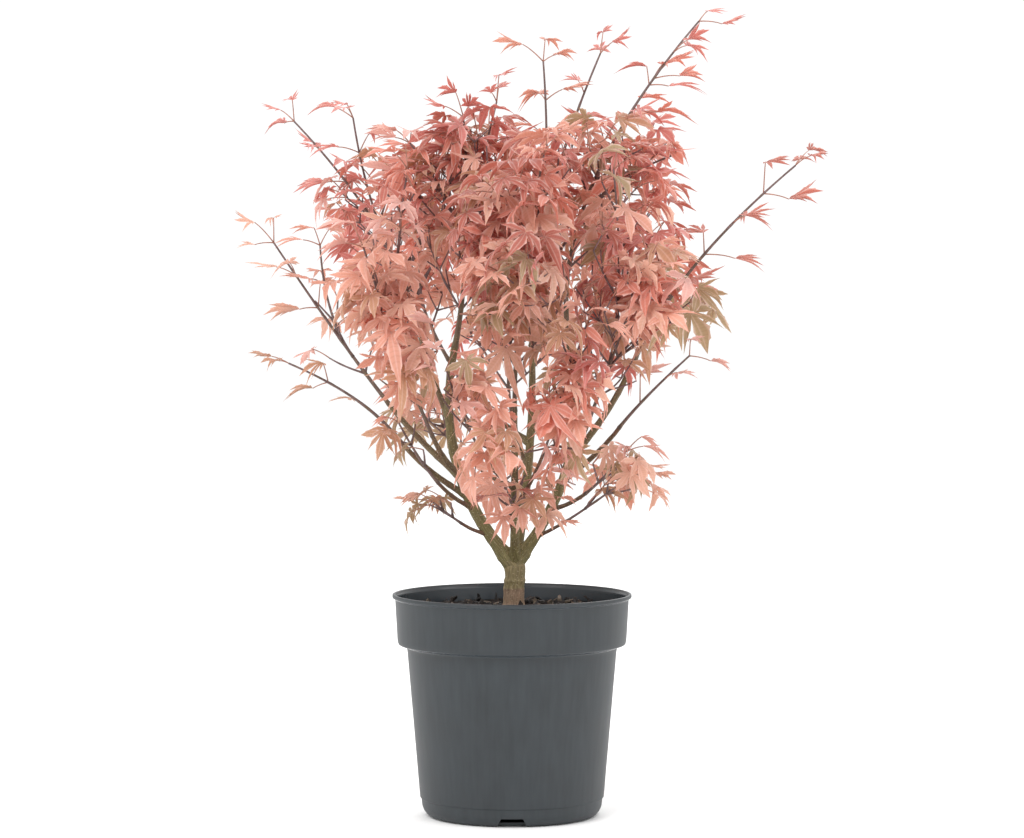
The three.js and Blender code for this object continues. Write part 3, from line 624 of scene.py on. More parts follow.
def bend(start, control, tip, count=PATH_POINTS):
    """Evenly spaced points on an arc, found by their length along a finer one."""
    fine = arc(start, control, tip, np.linspace(0, 1, 160)[:, None])
    length = np.concatenate([[0], np.cumsum(np.linalg.norm(np.diff(fine, axis=0), axis=1))])
    return resampled(fine, np.linspace(0, length[-1], count), length)


def place_on(path, share):
    """The point at a share of a path's length, and the path's direction there."""
    place = share * (len(path) - 1)
    low = min(int(place), len(path) - 2)
    step = path[low + 1] - path[low]
    return path[low] + (place - low) * step, unit(step)


def path_length(path):
    """The sum of the steps from point to point."""
    return float(np.linalg.norm(np.diff(path, axis=0), axis=1).sum())


def bough_path(start, tip, sag):
    """A curve whose middle is pushed out below the chord by the sag times its length."""
    chord = tip - start
    outward = unit(np.cross(chord, unit(np.cross(chord, UP))))
    return bend(start, (start + tip) / 2 + outward * sag * np.linalg.norm(chord) * 2, tip)


quarter = bend(np.zeros(3), np.array([10.0, 0, 0]), np.array([10.0, 10, 0]))
print("a bend of 10 by 10 mm is", round(path_length(quarter), 1), "mm long")

# %% Where the limbs run
trunk_path = np.linspace(TRUNK["foot"], TRUNK["fork"], PATH_POINTS)
limbs = {"trunk": {"path": trunk_path, "radii": (TRUNK["radius"], TRUNK["fork_radius"])}}
for name, parent, share, tip, sag, radii in BOUGHS:
    start, _ = place_on(limbs[parent]["path"], share)
    limbs[name] = {"path": bough_path(start, np.array(tip, float), sag), "radii": radii}
print("limbs:", len(limbs), "longest", round(max(path_length(limb["path"]) for limb in limbs.values())), "mm")

# %% [markdown]
# Maple bark on stems this young is thin and smooth. Its relief is slight: long shallow ribs, swollen rings
# where leaf pairs once stood, and a collar where a limb leaves its parent. All three are added to the
# radius of the tube, in its own bearing and length, so the relief follows the limb however it bends.

# %% The bark's shape
# How high each kind of relief stands, as a share of the limb's radius.
RELIEF = {"three_ribs": 0.035, "seven_ribs": 0.018, "lumps": 0.022, "nodes": 0.07}
NODE_SPACING = 31.0


def limb_relief(length, sides, girth, seed):
    """Ribs (a sum of sines of the bearing that wander along the limb), uneven lumps and swollen nodes."""
    chance = np.random.default_rng(seed)
    bearing, along = bearings(sides)[None], length[:, None]
    wander = waves(along, 38, seed)[:, None]
    ribs = RELIEF["three_ribs"] * np.sin(3 * bearing + 1.4 * wander + chance.uniform(0, 6))
    ribs = ribs + RELIEF["seven_ribs"] * np.sin(7 * bearing - 2.2 * wander + chance.uniform(0, 6))
    rod = np.stack(np.broadcast_arrays(9 * np.cos(bearing), 9 * np.sin(bearing), along), axis=-1)
    lumps = RELIEF["lumps"] * waves(rod, 9, seed + 1)
    to_node = np.abs((along + chance.uniform(0, 30)) % NODE_SPACING - NODE_SPACING / 2)
    nodes = RELIEF["nodes"] * np.exp(-(to_node / 1.7) ** 2)
    return girth[:, None] * (ribs + lumps + nodes)


print("the radius changes by up to", round(100 * sum(RELIEF.values()), 1), "%")

# %% The limbs' surfaces
TRUNK_SIDES = 64
BOUGH_SIDES = 24
BOUGH_STEP = 1.6
GRAFT = {"ring": 0.22, "ring_width": 1.1, "stock": 0.15}


def even_path(path, spacing):
    """The same path with points about one spacing apart."""
    count = max(4, int(path_length(path) / spacing) + 1)
    return resampled(path, np.linspace(0, 1, count) * (len(path) - 1), np.arange(len(path)))


def trunk_tube():
    """A stem that flares at the soil, swells under the fork and closes in a dome."""
    foot, fork = np.array(TRUNK["foot"]), np.array(TRUNK["fork"])
    path = np.linspace(foot - [0, 0, 5.0], fork + [0, 0, 3.0], 120)
    height = path[:, 2] - foot[2]
    flare = TRUNK["flare"] * np.clip(1 - height / TRUNK["flare_height"], 0, 1.2) ** 2
    swelling = (TRUNK["fork_radius"] - TRUNK["radius"]) * np.clip((height - 24) / 17, 0, 1) ** 1.5
    dome = np.sqrt(np.clip((path[-1, 2] + 0.3 - path[:, 2]) / 9, 0.02, 1))
    girth = (TRUNK["radius"] + flare + swelling) * dome
    relief = limb_relief(height, TRUNK_SIDES, girth, 3) * dome[:, None]
    # A low ring marks the graft, and below it the stock is a little thicker.
    ring = GRAFT["ring"] * np.exp(-((height - TRUNK["graft"]) / GRAFT["ring_width"]) ** 2)
    stock = GRAFT["stock"] * (height < TRUNK["graft"])
    return tube(path, girth, TRUNK_SIDES, relief + (ring + stock)[:, None])


def bough_tube(limb, seed):
    """A tapering limb with a collar that fades over two or three of its own widths."""
    path = even_path(limb["path"], BOUGH_STEP)
    length = np.linspace(0, path_length(path), len(path))
    foot, tip = limb["radii"]
    collar = 0.55 * foot * np.exp(-(length / (2.6 * foot + 2)) ** 2)
    girth = foot + (tip - foot) * length / length[-1] + collar
    return tube(path, girth, BOUGH_SIDES, limb_relief(length, BOUGH_SIDES, girth, seed))


bark_tubes = [trunk_tube()]
bark_tubes += [bough_tube(limb, 20 + 3 * place) for place, limb in enumerate(list(limbs.values())[1:])]
print("limbs with relief:", len(bark_tubes))

# %% [markdown]
# The bark is olive green where it still has chlorophyll, browner on the old wood and redder on thin wood.
# Pale lenticels dot it, and fine cracks run along it. The colour follows the limb's girth, which every
# point carries as a fact, and the patterns read the straightened place, so they run along each limb.

# %% Maple bark
GRAFT_HEIGHT = (TRUNK["foot"][2] + TRUNK["graft"]) * MM
WHITE = "#FFFFFF"


def maple_bark(name, girth_stops, spots=0.5):
    """Smooth bark: colour by girth in mm from 0 to 10, cracks along the limb and pale lenticels."""
    material, tree = new_finish(name)
    straight = add_node(tree, "ShaderNodeAttribute", attribute_name="straight").outputs["Vector"]
    girth = add_node(tree, "ShaderNodeAttribute", attribute_name="girth").outputs["Fac"]
    by_girth = add_node(tree, "ShaderNodeMapRange", {"Value": girth, "From Max": 10.0})
    # Patches are about 9 mm across, cracks 0.8 by 8 mm, and lenticels 1.4 mm wide and 0.8 mm high.
    patches = add_node(tree, "ShaderNodeTexNoise", {"Vector": straight, "Scale": 110.0, "Detail": 4.0})
    long_way = add_node(tree, "ShaderNodeMapping", {"Vector": straight, "Scale": (1250.0, 1250.0, 120.0)})
    cracks = add_node(tree, "ShaderNodeTexNoise", {"Vector": long_way, "Scale": 1.0, "Detail": 5.0})
    short_way = add_node(tree, "ShaderNodeMapping", {"Vector": straight, "Scale": (420.0, 420.0, 800.0)})
    dots = add_node(tree, "ShaderNodeTexVoronoi", {"Vector": short_way, "Scale": 1.0})
    # The patches shift the colour up or down the scale of girths by up to 1.8 mm.
    shift = add_node(tree, "ShaderNodeMath", {0: patches, 1: 0.36, 2: -0.18}, operation="MULTIPLY_ADD")
    shifted = add_node(tree, "ShaderNodeMath", {0: by_girth, 1: shift}, operation="ADD")
    ground = add_node(tree, "ShaderNodeValToRGB", {"Fac": shifted}, girth_stops)
    shade = add_node(tree, "ShaderNodeValToRGB", {"Fac": cracks}, [(0.32, "#6E6A66"), (0.6, WHITE)])
    # Below the graft the bark is the stock's, browner than the rest.
    place = add_node(tree, "ShaderNodeTexCoord").outputs["Object"]
    height = add_node(tree, "ShaderNodeSeparateXYZ", {"Vector": place}).outputs["Z"]
    stock = add_node(tree, "ShaderNodeMapRange", {
        "Value": height, "From Min": GRAFT_HEIGHT - 0.001, "From Max": GRAFT_HEIGHT + 0.001,
        "To Min": 0.7, "To Max": 0.0,
    })
    shades = {"Factor": stock, "A": ground, "B": linear("#8E7161")}
    whole = add_node(tree, "ShaderNodeMix", shades, data_type="RGBA")
    shades = {"Factor": 0.6, "A": whole, "B": shade}
    cracked = add_node(tree, "ShaderNodeMix", shades, data_type="RGBA", blend_type="MULTIPLY")
    dot = add_node(tree, "ShaderNodeMapRange", {
        "Value": dots, "From Min": 0.16, "From Max": 0.3, "To Min": spots, "To Max": 0.0,
    })
    shades = {"Factor": dot, "A": cracked, "B": linear("#B9A98A")}
    colour = add_node(tree, "ShaderNodeMix", shades, data_type="RGBA")
    depth = add_node(tree, "ShaderNodeMath", {0: cracks, 1: dot}, operation="ADD")
    bump = add_node(tree, "ShaderNodeBump", {"Height": depth, "Strength": 0.5, "Distance": 0.0005})
    shader = add_node(tree, "ShaderNodeBsdfPrincipled", {
        "Base Color": colour, "Roughness": 0.72, "Normal": bump,
    })
    add_node(tree, "ShaderNodeOutputMaterial", {"Surface": shader})
    return material


limb_bark = maple_bark("maple_limb_bark", [
    (0.12, "#6B4B3B"), (0.24, "#6C5A3D"), (0.42, "#766B42"), (0.66, "#837A50"), (0.86, "#8A7C58"),
])
bark = add_tubes("trunk_and_boughs", bark_tubes, limb_bark, "bark")
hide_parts(*limbs)

# %% [markdown]
# ## The growing rule
#
# The crown isn't scattered leaves: every leaf stands on a twig that grows from a bough, so the crown stays
# right from all sides. The rule is the solid model's, with values of its own. A leader goes on from each
# bough's tip. Opposite pairs of shoots stand on it, each pair turned a quarter turn from the last, and
# opposite pairs of leaves stand on those. Here the nodes lie closer together and the longer shoots carry
# finer ones.

# %% The masses of foliage
# Name, the bough it goes on from, its leaders' tips, the length of its longest shoots, the share of its
# leaders that carries shoots, the length of a large leaf's middle lobe, how many leaves it holds at most, and
# the seed of its chances. Eleven masses have thin leaders here that their solids don't have, and in eight
# masses a tip lies 6 to 37 mm from the solid's. The length of the shoots and of the leaf, the number of leaves
# and the seed were set one by one at first. A search then tried about 1,500 sets of them against the outline
# and the gaps of the crown in the photograph, and these are the ones that it kept.
MASSES = [
    ("top_left_foliage", "left_bough", [(-38, -26, 552), (-80, -16, 532), (-12, -22, 564)],
     66, 0.6, 36, 118, 339),
    ("top_foliage", "back_bough", [(71, 48, 606), (25, 40, 599)], 66, 0.34, 35, 34, 219),
    ("top_right_foliage", "right_bough", [(147, -8, 628), (112, 14, 584), (130, -4, 524)],
     60, 0.36, 35, 94, 239),
    ("front_foliage", "front_bough", [(24, -128, 520), (-18, -150, 392)], 92, 0.8, 37, 179, 561),
    ("low_left_foliage", "low_left_bough", [(-62, -24, 250)], 25, 0.82, 25, 12, 950),
    ("far_left_low_foliage", "far_left_low_bough", [(-174, -44, 360)], 31, 0.2, 26, 5, 224),
    ("far_left_foliage", "far_left_bough", [(-188, -4, 454), (-152, 6, 452)], 30, 0.5, 30, 18, 855),
    ("upper_left_foliage", "upper_left_bough", [(-174, 34, 551), (-126, 14, 553)], 45, 0.42, 29, 38, 795),
    ("front_left_foliage", "front_left_bough", [(-112, -130, 450), (-56, -146, 372), (-80, -82, 510)],
     37, 0.82, 38, 115, 604),
    ("low_right_foliage", "low_right_bough", [(92, -26, 270)], 34, 0.82, 31, 13, 625),
    ("right_low_foliage", "right_low_bough", [(138, -50, 366)], 22, 0.3, 29, 4, 805),
    ("far_right_foliage", "far_right_bough", [(224, 2, 515)], 38, 0.3, 35, 20, 802),
    ("front_right_foliage", "front_right_bough", [(102, -138, 438), (78, -80, 510), (116, -112, 398)],
     54, 0.82, 38, 98, 147),
    ("low_back_foliage", "low_back_bough", [(-6, 82, 266)], 40, 0.82, 32, 12, 522),
    ("far_back_foliage", "far_back_bough", [(4, 166, 392), (10, 120, 466)], 71, 0.82, 35, 82, 356),
    ("back_left_foliage", "back_left_bough", [(-88, 140, 464), (-62, 84, 516)], 53, 0.82, 38, 71, 780),
    ("back_right_foliage", "back_right_bough", [(98, 138, 452), (84, 92, 520)], 63, 0.82, 35, 62, 573),
    ("low_front_foliage", "low_front_bough", [(-6, -66, 258), (26, -58, 256)], 27, 0.82, 31, 16, 731),
    ("inner_left_foliage", "inner_left_bough", [(-88, -54, 314)], 36, 0.82, 33, 8, 429),
    ("inner_right_foliage", "inner_right_bough", [(88, -66, 292)], 29, 0.82, 33, 10, 833),
    ("inner_front_foliage", "inner_front_bough", [(34, -110, 330), (56, -138, 392), (34, -104, 290)],
     48, 0.82, 36, 51, 593),
    ("inner_front_left_foliage", "inner_front_left_bough", [(-50, -118, 358), (-16, -106, 312)],
     58, 0.82, 38, 32, 650),
    ("inner_back_foliage", "inner_back_bough", [(-66, 90, 324)], 39, 0.82, 35, 19, 731),
]
print("masses:", len(MASSES), "leaves at most:", sum(row[-2] for row in MASSES))

# %% The leaders
FORK_SHARE = 0.3
LEADER_TIP_RADIUS = 0.75
FORKED_RADIUS_SHARE = 0.7
LEADER_REACH = 0.42
LEADER_POINTS = 65


def leader_path(start, direction, tip):
    """Goes on in its bough's direction and bends towards its own tip."""
    return bend(start, start + direction * np.linalg.norm(tip - start) * LEADER_REACH, tip, LEADER_POINTS)


def leaders_of(bough, tips):
    """The stem from the bough's tip, and the further leaders that fork from it."""
    start, direction = limbs[bough]["path"][-1], place_on(limbs[bough]["path"], 1)[1]
    foot_radius = limbs[bough]["radii"][1]
    stem = leader_path(start - direction, direction, np.array(tips[0], float))
    leaders = [{"path": stem, "radii": (foot_radius, LEADER_TIP_RADIUS), "order": 0}]
    fork, fork_direction = place_on(stem, FORK_SHARE)
    for tip in tips[1:]:
        path = leader_path(fork, fork_direction, np.array(tip, float))
        radii = (foot_radius * FORKED_RADIUS_SHARE, LEADER_TIP_RADIUS)
        leaders.append({"path": path, "radii": radii, "order": 0})
    return leaders


leader_sets = [leaders_of(bough, tips) for _, bough, tips, *_ in MASSES]
print("leaders:", sum(len(leaders) for leaders in leader_sets))

# %% [markdown]
# Each mass keeps to its own space, so that no two masses grow through each other. A plane parts every two
# masses, halfway along the shortest line between the hulls of their leaders, and a mass stays on its own
# side of all its planes. The shortest line is found by walking: start anywhere, look for the corners that
# lie nearest along the line, and step towards them.

# %% The spaces
GAP = 0.3
MOST_STEPS = 240


def parting_plane(near, far):
    """The unit normal and the offset of the plane that parts two sets of points with the widest gap."""
    line = far[0] - near[0]
    for _ in range(MOST_STEPS):
        edge = far[np.argmin(far @ line)] - near[np.argmax(near @ line)] - line
        if edge @ edge < 1e-6:
            break
        line = line + edge * np.clip(-line @ edge / (edge @ edge), 0, 1)
    line = unit(line)
    return line, ((near @ line).max() + (far @ line).min()) / 2


stem_points = [np.concatenate([leader["path"][::6] for leader in leaders]) for leaders in leader_sets]
spaces = [[] for _ in MASSES]
for first in range(len(MASSES)):
    for second in range(first + 1, len(MASSES)):
        normal, offset = parting_plane(stem_points[first], stem_points[second])
        spaces[first].append((*normal, GAP - offset))
        spaces[second].append((*-normal, GAP + offset))
spaces = np.array(spaces)
box_low, box_high = [np.array(corner) / MM for corner in cad_box]
limb_points = np.concatenate([limb["path"][::3] for limb in limbs.values()])
limb_radii = np.concatenate([np.full(len(limb["path"][::3]), limb["radii"][0]) for limb in limbs.values()])
print("planes round each mass:", spaces.shape[1])

# %% [markdown]
# ## One leaf
#
# A leaf of this maple has seven long, toothed lobes that spread like a hand, folds a little along each
# midrib and hangs at the tips. A template holds it flat: for each lobe the points of its midrib and of its
# two toothed edges, in shares of the middle lobe's length. Each edge is written once, for half a lobe, and
# the bays between lobes are shared. A leaf has only 42 faces, because it is repeated hundreds of times:
# three for each half of a lobe.

# %% The leaf's template
# Each lobe's bearing in degrees from the middle one, and its length.
LOBES = [(-126, 0.40), (-80, 0.74), (-39, 0.95), (0, 1.0), (39, 0.95), (80, 0.74), (126, 0.40)]
# Half a lobe's edge from the bay to the tip: the share of the lobe's length and the half width there.
LOBE_EDGE = np.array([(0.38, 0.108), (0.56, 0.148), (0.60, 0.116), (0.77, 0.088), (0.79, 0.056)])
LOBE_MIDRIB = [0.30, 0.55, 0.78]
BAY_SHARE, BAY_WIDTH = 0.23, 0.09
# Two more points close the blade behind its smallest lobes: degrees further round, distance and half width.
HEEL = (34, 0.07, 0.03)


def lobe_rows(bearing, length):
    """A lobe's left edge, midrib, right edge and tip, as (bearing, distance, half width) rows."""
    along, half = LOBE_EDGE.T * [[length], [0.35 + 0.65 * length]]
    turn, reach = np.degrees(np.arctan2(half, along)), np.hypot(along, half)
    left, right = zip(bearing - turn, reach, half), zip(bearing + turn, reach, half)
    midrib = [(bearing, share * length, 0.0) for share in LOBE_MIDRIB]
    return left, midrib, right, [(bearing, length, 0.0)]


print("points of the middle lobe:", sum(len(list(part)) for part in lobe_rows(*LOBES[3])))


# %% The whole leaf
def leaf_template():
    """A leaf's points as (bearing, distance, half width) rows, and its faces by their count of corners."""
    rows, blocks = [(0.0, 0.0, 0.0)], [[], [], []]

    def add(new_rows):
        """Takes the rows in and says which numbers they have."""
        first = len(rows)
        rows.extend(new_rows)
        return list(range(first, len(rows)))

    bays = []
    for (bearing, length), (next_bearing, next_length) in zip(LOBES, LOBES[1:]):
        bays += add([((bearing + next_bearing) / 2, BAY_SHARE * (length + next_length) / 2, BAY_WIDTH)])
    first_heel, last_heel = add([(LOBES[0][0] - HEEL[0], *HEEL[1:]), (LOBES[-1][0] + HEEL[0], *HEEL[1:])])
    bays = [first_heel, *bays, last_heel]
    for lobe, left_bay, right_bay in zip(LOBES, bays, bays[1:]):
        left, midrib, right, tip = [add(part) for part in lobe_rows(*lobe)]
        spine = [0, *midrib, *tip]
        for way, edge in ((1, [left_bay, *left]), (-1, [right_bay, *right])):
            # Three faces from the bay to the tip. The right half's corners run the other way round.
            faces = [
                [spine[0], edge[0], edge[1], spine[1]],
                [spine[1], edge[1], edge[2], edge[3], spine[2]],
                [spine[2], edge[3], edge[4], edge[5], spine[4], spine[3]],
            ]
            for block, face in zip(blocks, faces):
                block.append(face[::way])
    return np.array(rows), [np.array(block) for block in blocks]


leaf_rows, leaf_faces = leaf_template()
print("leaf template:", len(leaf_rows), "points,", sum(len(block) for block in leaf_faces), "faces")

# %% Leaves in space
LOBE_UNEVEN = 0.13
LOBE_SWAY = 0.16


def carry_leaves(rows, leaves):
    """
    Puts the template's rows on every leaf at once. A point lies at (cos b, sin b) times its distance in the
    leaf's plane, rises by the fold times its half width, sinks by the droop times its distance squared, and
    the outer part of a lobe curls down by the curl times the cube of its distance. No lobe is like the next:
    two sines of the bearing make some longer than others, and lift some and lower others by the twist.
    """
    bearing = np.radians(rows[:, 0])[None] * leaves["spread"][:, None]
    phase = leaves["phase"][:, None]
    reach = rows[:, 1][None] * (1 + LOBE_UNEVEN * np.sin(4 * bearing + 2 * phase))
    bearing = bearing + LOBE_SWAY * reach * np.sin(5 * bearing - phase)
    x, y = np.cos(bearing) * reach, np.sin(bearing) * reach
    twist = leaves["twist"][:, None] * np.sin(3 * bearing + phase) * reach ** 2
    z = leaves["fold"][:, None] * rows[:, 2][None] - leaves["droop"][:, None] * reach ** 2 + twist
    z = z - leaves["curl"][:, None] * reach ** 3
    size = leaves["length"][:, None, None]
    flat = x[..., None] * leaves["along"][:, None] + y[..., None] * leaves["across"][:, None]
    return leaves["base"][:, None] + size * (flat + z[..., None] * leaves["normal"][:, None])


def stacked(blades):
    """The facts of many blades as arrays, one row for each blade."""
    return {fact: np.array([blade[fact] for blade in blades]) for fact in blades[0]}


# The points that are tested on each leaf: its foot, and two on every lobe.
TEST_ROWS = np.array(
    [(0, 0, 0)] + [(bearing, share * length, 0) for bearing, length in LOBES for share in (0.5, 0.93)]
)
print("tested points on each leaf:", len(TEST_ROWS))

# %% [markdown]
# ## Growing the crown
#
# Growing is a walk along each stem: at every node a pair of shoots or a pair of leaves is tried. One that
# would leave its mass's space, touch a limb or crowd another leaf is tried turned or shorter, and is then
# left out. All chances come from one seeded stream for each mass, so the crown is the same every time.

# %% Nodes on a shoot
# Leaders have order 0, their shoots 1 and the shoots on those 2. Each tuple has one number for each order.
INTERNODE = (33.0, 21.0, 17.0)
BARE_SHARE = (0.06, 0.28, 0.35)
LEAST_NODES = (3, 1, 1)
FLATTEN = 0.5


def across_shoot(forward):
    """Two directions square to a shoot, the first one level."""
    level = np.cross(forward, UP)
    if np.linalg.norm(level) < 0.2:
        level = np.cross(forward, [0.0, 1.0, 0.0])
    level = unit(level)
    return level, np.cross(level, forward)


def pair_direction(forward, turn):
    """The sideways direction of a pair. Pairs cross each other up the shoot and lie flat on a level one."""
    level, rising = across_shoot(forward)
    flat = 1 - FLATTEN * np.hypot(forward[0], forward[1])
    return unit(level * np.cos(turn) + rising * np.sin(turn) * flat)


def nodes_of(shoot, chance):
    """A shoot's nodes from its bare foot to its tip, each with the directions of its pair."""
    order, path = shoot["order"], shoot["path"]
    count = max(LEAST_NODES[order], round(path_length(path) / INTERNODE[order]))
    first_turn = chance.uniform(0, np.pi)
    nodes = []
    for place in range(1, count + 1):
        share = place / count
        if share < BARE_SHARE[order]:
            continue
        point, forward = place_on(path, share)
        out = pair_direction(forward, first_turn + place * np.pi / 2)
        node = {"shoot": shoot, "share": share, "point": point, "forward": forward, "pair": (out, -out)}
        nodes.append(node)
    return nodes


leader_lengths = [path_length(leader["path"]) for leaders in leader_sets for leader in leaders]
print("leaders are", round(min(leader_lengths)), "to", round(max(leader_lengths)), "mm long")

# %% What fits
LOWEST_LEAF = 182.0
REACH_MARGIN = 2.0


def fits(points, place, clear_of):
    """Whether all points lie in the solids' reach and the mass's space, and clear of every limb."""
    if points[:, 2].min() < LOWEST_LEAF:
        return False
    if (points < box_low - REACH_MARGIN).any() or (points > box_high + REACH_MARGIN).any():
        return False
    if (points @ spaces[place][:, :3].T + spaces[place][:, 3]).max() > 0:
        return False
    apart = np.linalg.norm(points[:, None] - limb_points[None], axis=-1) - limb_radii[None]
    return apart.min() > clear_of


print("points on the limbs to stay clear of:", len(limb_points))

# %% Shoots
SHOOT_ANGLE = np.radians(52)
SHOOT_LIFT = 0.24
SHOOT_RISE = 0.12
SHOOT_SWAY = 0.07
SHOOT_RADII = {1: (1.15, 0.6), 2: (0.8, 0.5)}
SHOOT_CLEARANCE = 1.2
LENGTH_TRIES = (1.0, 0.8, 0.6, 0.42)


def grow_shoot(node, out, length, order, place, chance):
    """A side shoot that leaves its parent at a fixed angle and rises, or nothing where it doesn't fit."""
    direction = node["forward"] * np.cos(SHOOT_ANGLE) + out * np.sin(SHOOT_ANGLE)
    direction = unit(direction + UP * SHOOT_LIFT)
    sway = chance.normal(0, SHOOT_SWAY, 3)
    start = node["point"]
    for share in LENGTH_TRIES:
        reach = length * share
        tip = start + unit(direction + UP * SHOOT_RISE + sway) * reach
        path = bend(start, start + direction * reach * 0.5, tip, 13)
        if fits(path[4:], place, SHOOT_CLEARANCE):
            return {"path": path, "radii": SHOOT_RADII[order], "order": order}
    return None


print("tries for each shoot:", len(LENGTH_TRIES))

# %% [markdown]
# A leaf goes on outwards from its stalk and dips, low in the crown more than high up, where the blades lie
# more level. Young leaves stand on the leaders' bare ends: they are half open, point a little upwards and
# hardly droop. A leaf that doesn't fit is tried again with its stalk turned and its size cut.

# %% How a leaf lies
LARGE_LEAF = 36.0
STALK_LENGTH = 24.0
STALK_LEAN = 0.4
STALK_OUTWARD = 0.45
STALK_LIFT = 0.16
CROWN_FOOT, CROWN_TOP = 240.0, 600.0
DIP = {"low": np.radians(50), "high": np.radians(6), "spread": np.radians(30)}
ROLL = np.radians(60)
LEVEL_AT_TOP = 0.45
YOUNG = {"tumble": 0.4, "spread": 0.48, "rise": np.radians(13), "droop": 0.4}


def turned(vector, axis, angle):
    """A vector turned round a unit axis."""
    swung = np.cross(axis, vector)
    return vector * np.cos(angle) + swung * np.sin(angle) + axis * (axis @ vector) * (1 - np.cos(angle))


def height_share(z):
    """How high in the crown a point lies, from 0 at its foot to 1 at its top."""
    return np.clip((z - CROWN_FOOT) / (CROWN_TOP - CROWN_FOOT), 0, 1)


def leaf_plan(node, out, length, turn, lot):
    """The facts of a leaf's blade, and the three points that its stalk's curve is drawn from."""
    point, young = node["point"], node["shoot"]["order"] == 0
    outward = unit(np.array([point[0], point[1], 1e-6]))
    stalk = out + node["forward"] * STALK_LEAN + outward * STALK_OUTWARD + UP * STALK_LIFT
    stalk = unit(turned(stalk, UP, turn))
    reach = STALK_LENGTH * (0.35 + 0.65 * length / LARGE_LEAF) * lot["stalk"]
    base = point + stalk * reach
    height = height_share(base[2])
    tumble = (1 - LEVEL_AT_TOP * height) * (YOUNG["tumble"] if young else 1)
    limp = YOUNG["droop"] if young else 1
    dip = DIP["low"] + (DIP["high"] - DIP["low"]) * height
    dip = (dip * YOUNG["tumble"] - YOUNG["rise"]) if young else dip
    dip = dip + DIP["spread"] * tumble * lot["dip"]
    along = unit(stalk * [1, 1, 0] + outward * 0.001) * np.cos(dip) - UP * np.sin(dip)
    across = turned(unit(np.cross(UP, along)), along, ROLL * tumble * lot["roll"])
    blade = {
        "base": base,
        "along": along,
        "across": across,
        "normal": np.cross(along, across),
        "length": length,
        "fold": lot["fold"],
        "droop": lot["droop"] * limp,
        "curl": lot["curl"] * limp,
        "spread": lot["spread"] * (YOUNG["spread"] if young else 1),
        "twist": lot["twist"],
        "phase": lot["phase"],
    }
    return blade, (point, point + stalk * reach * 0.6 + UP * reach * 0.1, base)


print("a leaf at 420 mm is", height_share(420.0), "of the way up the crown")

# %% What chance decides
# The least for each leaf, and how much may be added to it.
BY_CHANCE = {
    "stalk": (0.7, 0.6),
    "dip": (-1.0, 2.0),
    "roll": (-1.0, 2.0),
    "fold": (0.2, 0.7),
    "droop": (0.02, 0.3),
    "curl": (0.0, 0.3),
    "spread": (0.8, 0.24),
    "twist": (0.24, 0.3),
    "phase": (0.0, 2 * np.pi),
    "size": (0.84, 0.3),
}


def decide(chance):
    """A seeded number for each thing that chance decides: the least, plus a share of what may be added."""
    shares = chance.random(len(BY_CHANCE))
    return {kind: least + more * share for (kind, (least, more)), share in zip(BY_CHANCE.items(), shares)}


print("chance decides for each leaf:", ", ".join(BY_CHANCE))

# %% Trying a leaf
# A leaf on a leader's tip has this share of the full length, and one on a side shoot's tip this share.
TIP_SIZE = {"leader": 0.66, "shoot": 0.7}
LEAF_CLEARANCE = 2.0
LEAF_APART = 11.5
# The degrees by which the stalk is turned, and the share to which the size is cut.
LEAF_TRIES = (
    (0, 1.0), (28, 1.0), (-28, 1.0), (55, 0.94), (-55, 0.94), (85, 0.88), (-85, 0.88), (0, 0.75), (45, 0.7),
)


def grow_leaf(node, out, full_length, lot, middles, place):
    """The first try that fits and isn't crowded by the middles of other leaves, or nothing."""
    for turn, share in LEAF_TRIES:
        blade, stalk = leaf_plan(node, out, full_length * share, np.radians(turn), lot)
        points = carry_leaves(TEST_ROWS, stacked([blade]))[0]
        middle = points.mean(axis=0)
        crowded = len(middles) and np.linalg.norm(middles - middle, axis=1).min() < LEAF_APART
        if not crowded and fits(points, place, LEAF_CLEARANCE):
            return {"blade": blade, "stalk": stalk, "shoot": node["shoot"], "middle": middle}
    return None


print("tries for each leaf:", len(LEAF_TRIES))

# %% Growing the shoots
# Shoots get shorter up a leader by this share, and chance decides from the least to the least plus the rest.
SHORTER_TO_TIP = 0.65
SHOOT_LEAST, SHOOT_MORE = 0.8, 0.4
# Only a shoot as long as this carries finer ones. They are this share of it, less the rest towards its tip.
SUB_SHOOT_FROM = 34.0
SUB_SHOOT_SHARE, SUB_SHOOT_LESS = 0.62, 0.3


def grow_shoots(place, spread, shoots_to, chance):
    """All shoots of a mass, order by order, its nodes, and the spots where no shoot grew."""
    shoots, nodes, spots = list(leader_sets[place]), [], []
    for leader in leader_sets[place]:
        nodes += nodes_of(leader, chance)
    for order in (1, 2):
        grown = []
        for node in nodes:
            parent = node["shoot"]
            if parent["order"] != order - 1 or (order == 2 and path_length(parent["path"]) < SUB_SHOOT_FROM):
                continue
            for out in node["pair"]:
                length = spread * (1 - SHORTER_TO_TIP * node["share"])
                length = length * (SHOOT_LEAST + SHOOT_MORE * chance.random())
                if order == 2:
                    length = path_length(parent["path"]) * (SUB_SHOOT_SHARE - SUB_SHOOT_LESS * node["share"])
                shoot = None
                if order == 2 or node["share"] <= shoots_to:
                    shoot = grow_shoot(node, out, length, order, place, chance)
                if shoot is None:
                    spots.append((node, out))
                    continue
                shoots.append(shoot)
                grown += nodes_of(shoot, chance)
        nodes += grown
    return shoots, nodes, spots


print("side shoots shorter than", SUB_SHOOT_FROM, "mm carry only leaves")


# %% Growing the masses
def rank_of(node, shoots_to):
    """Leaves come first on a leader's bare end, then at the shoots' tips, and then everywhere else."""
    if node["shoot"]["order"] == 0 and node["share"] > shoots_to:
        return 0
    return 1 if node["share"] == 1 else 2


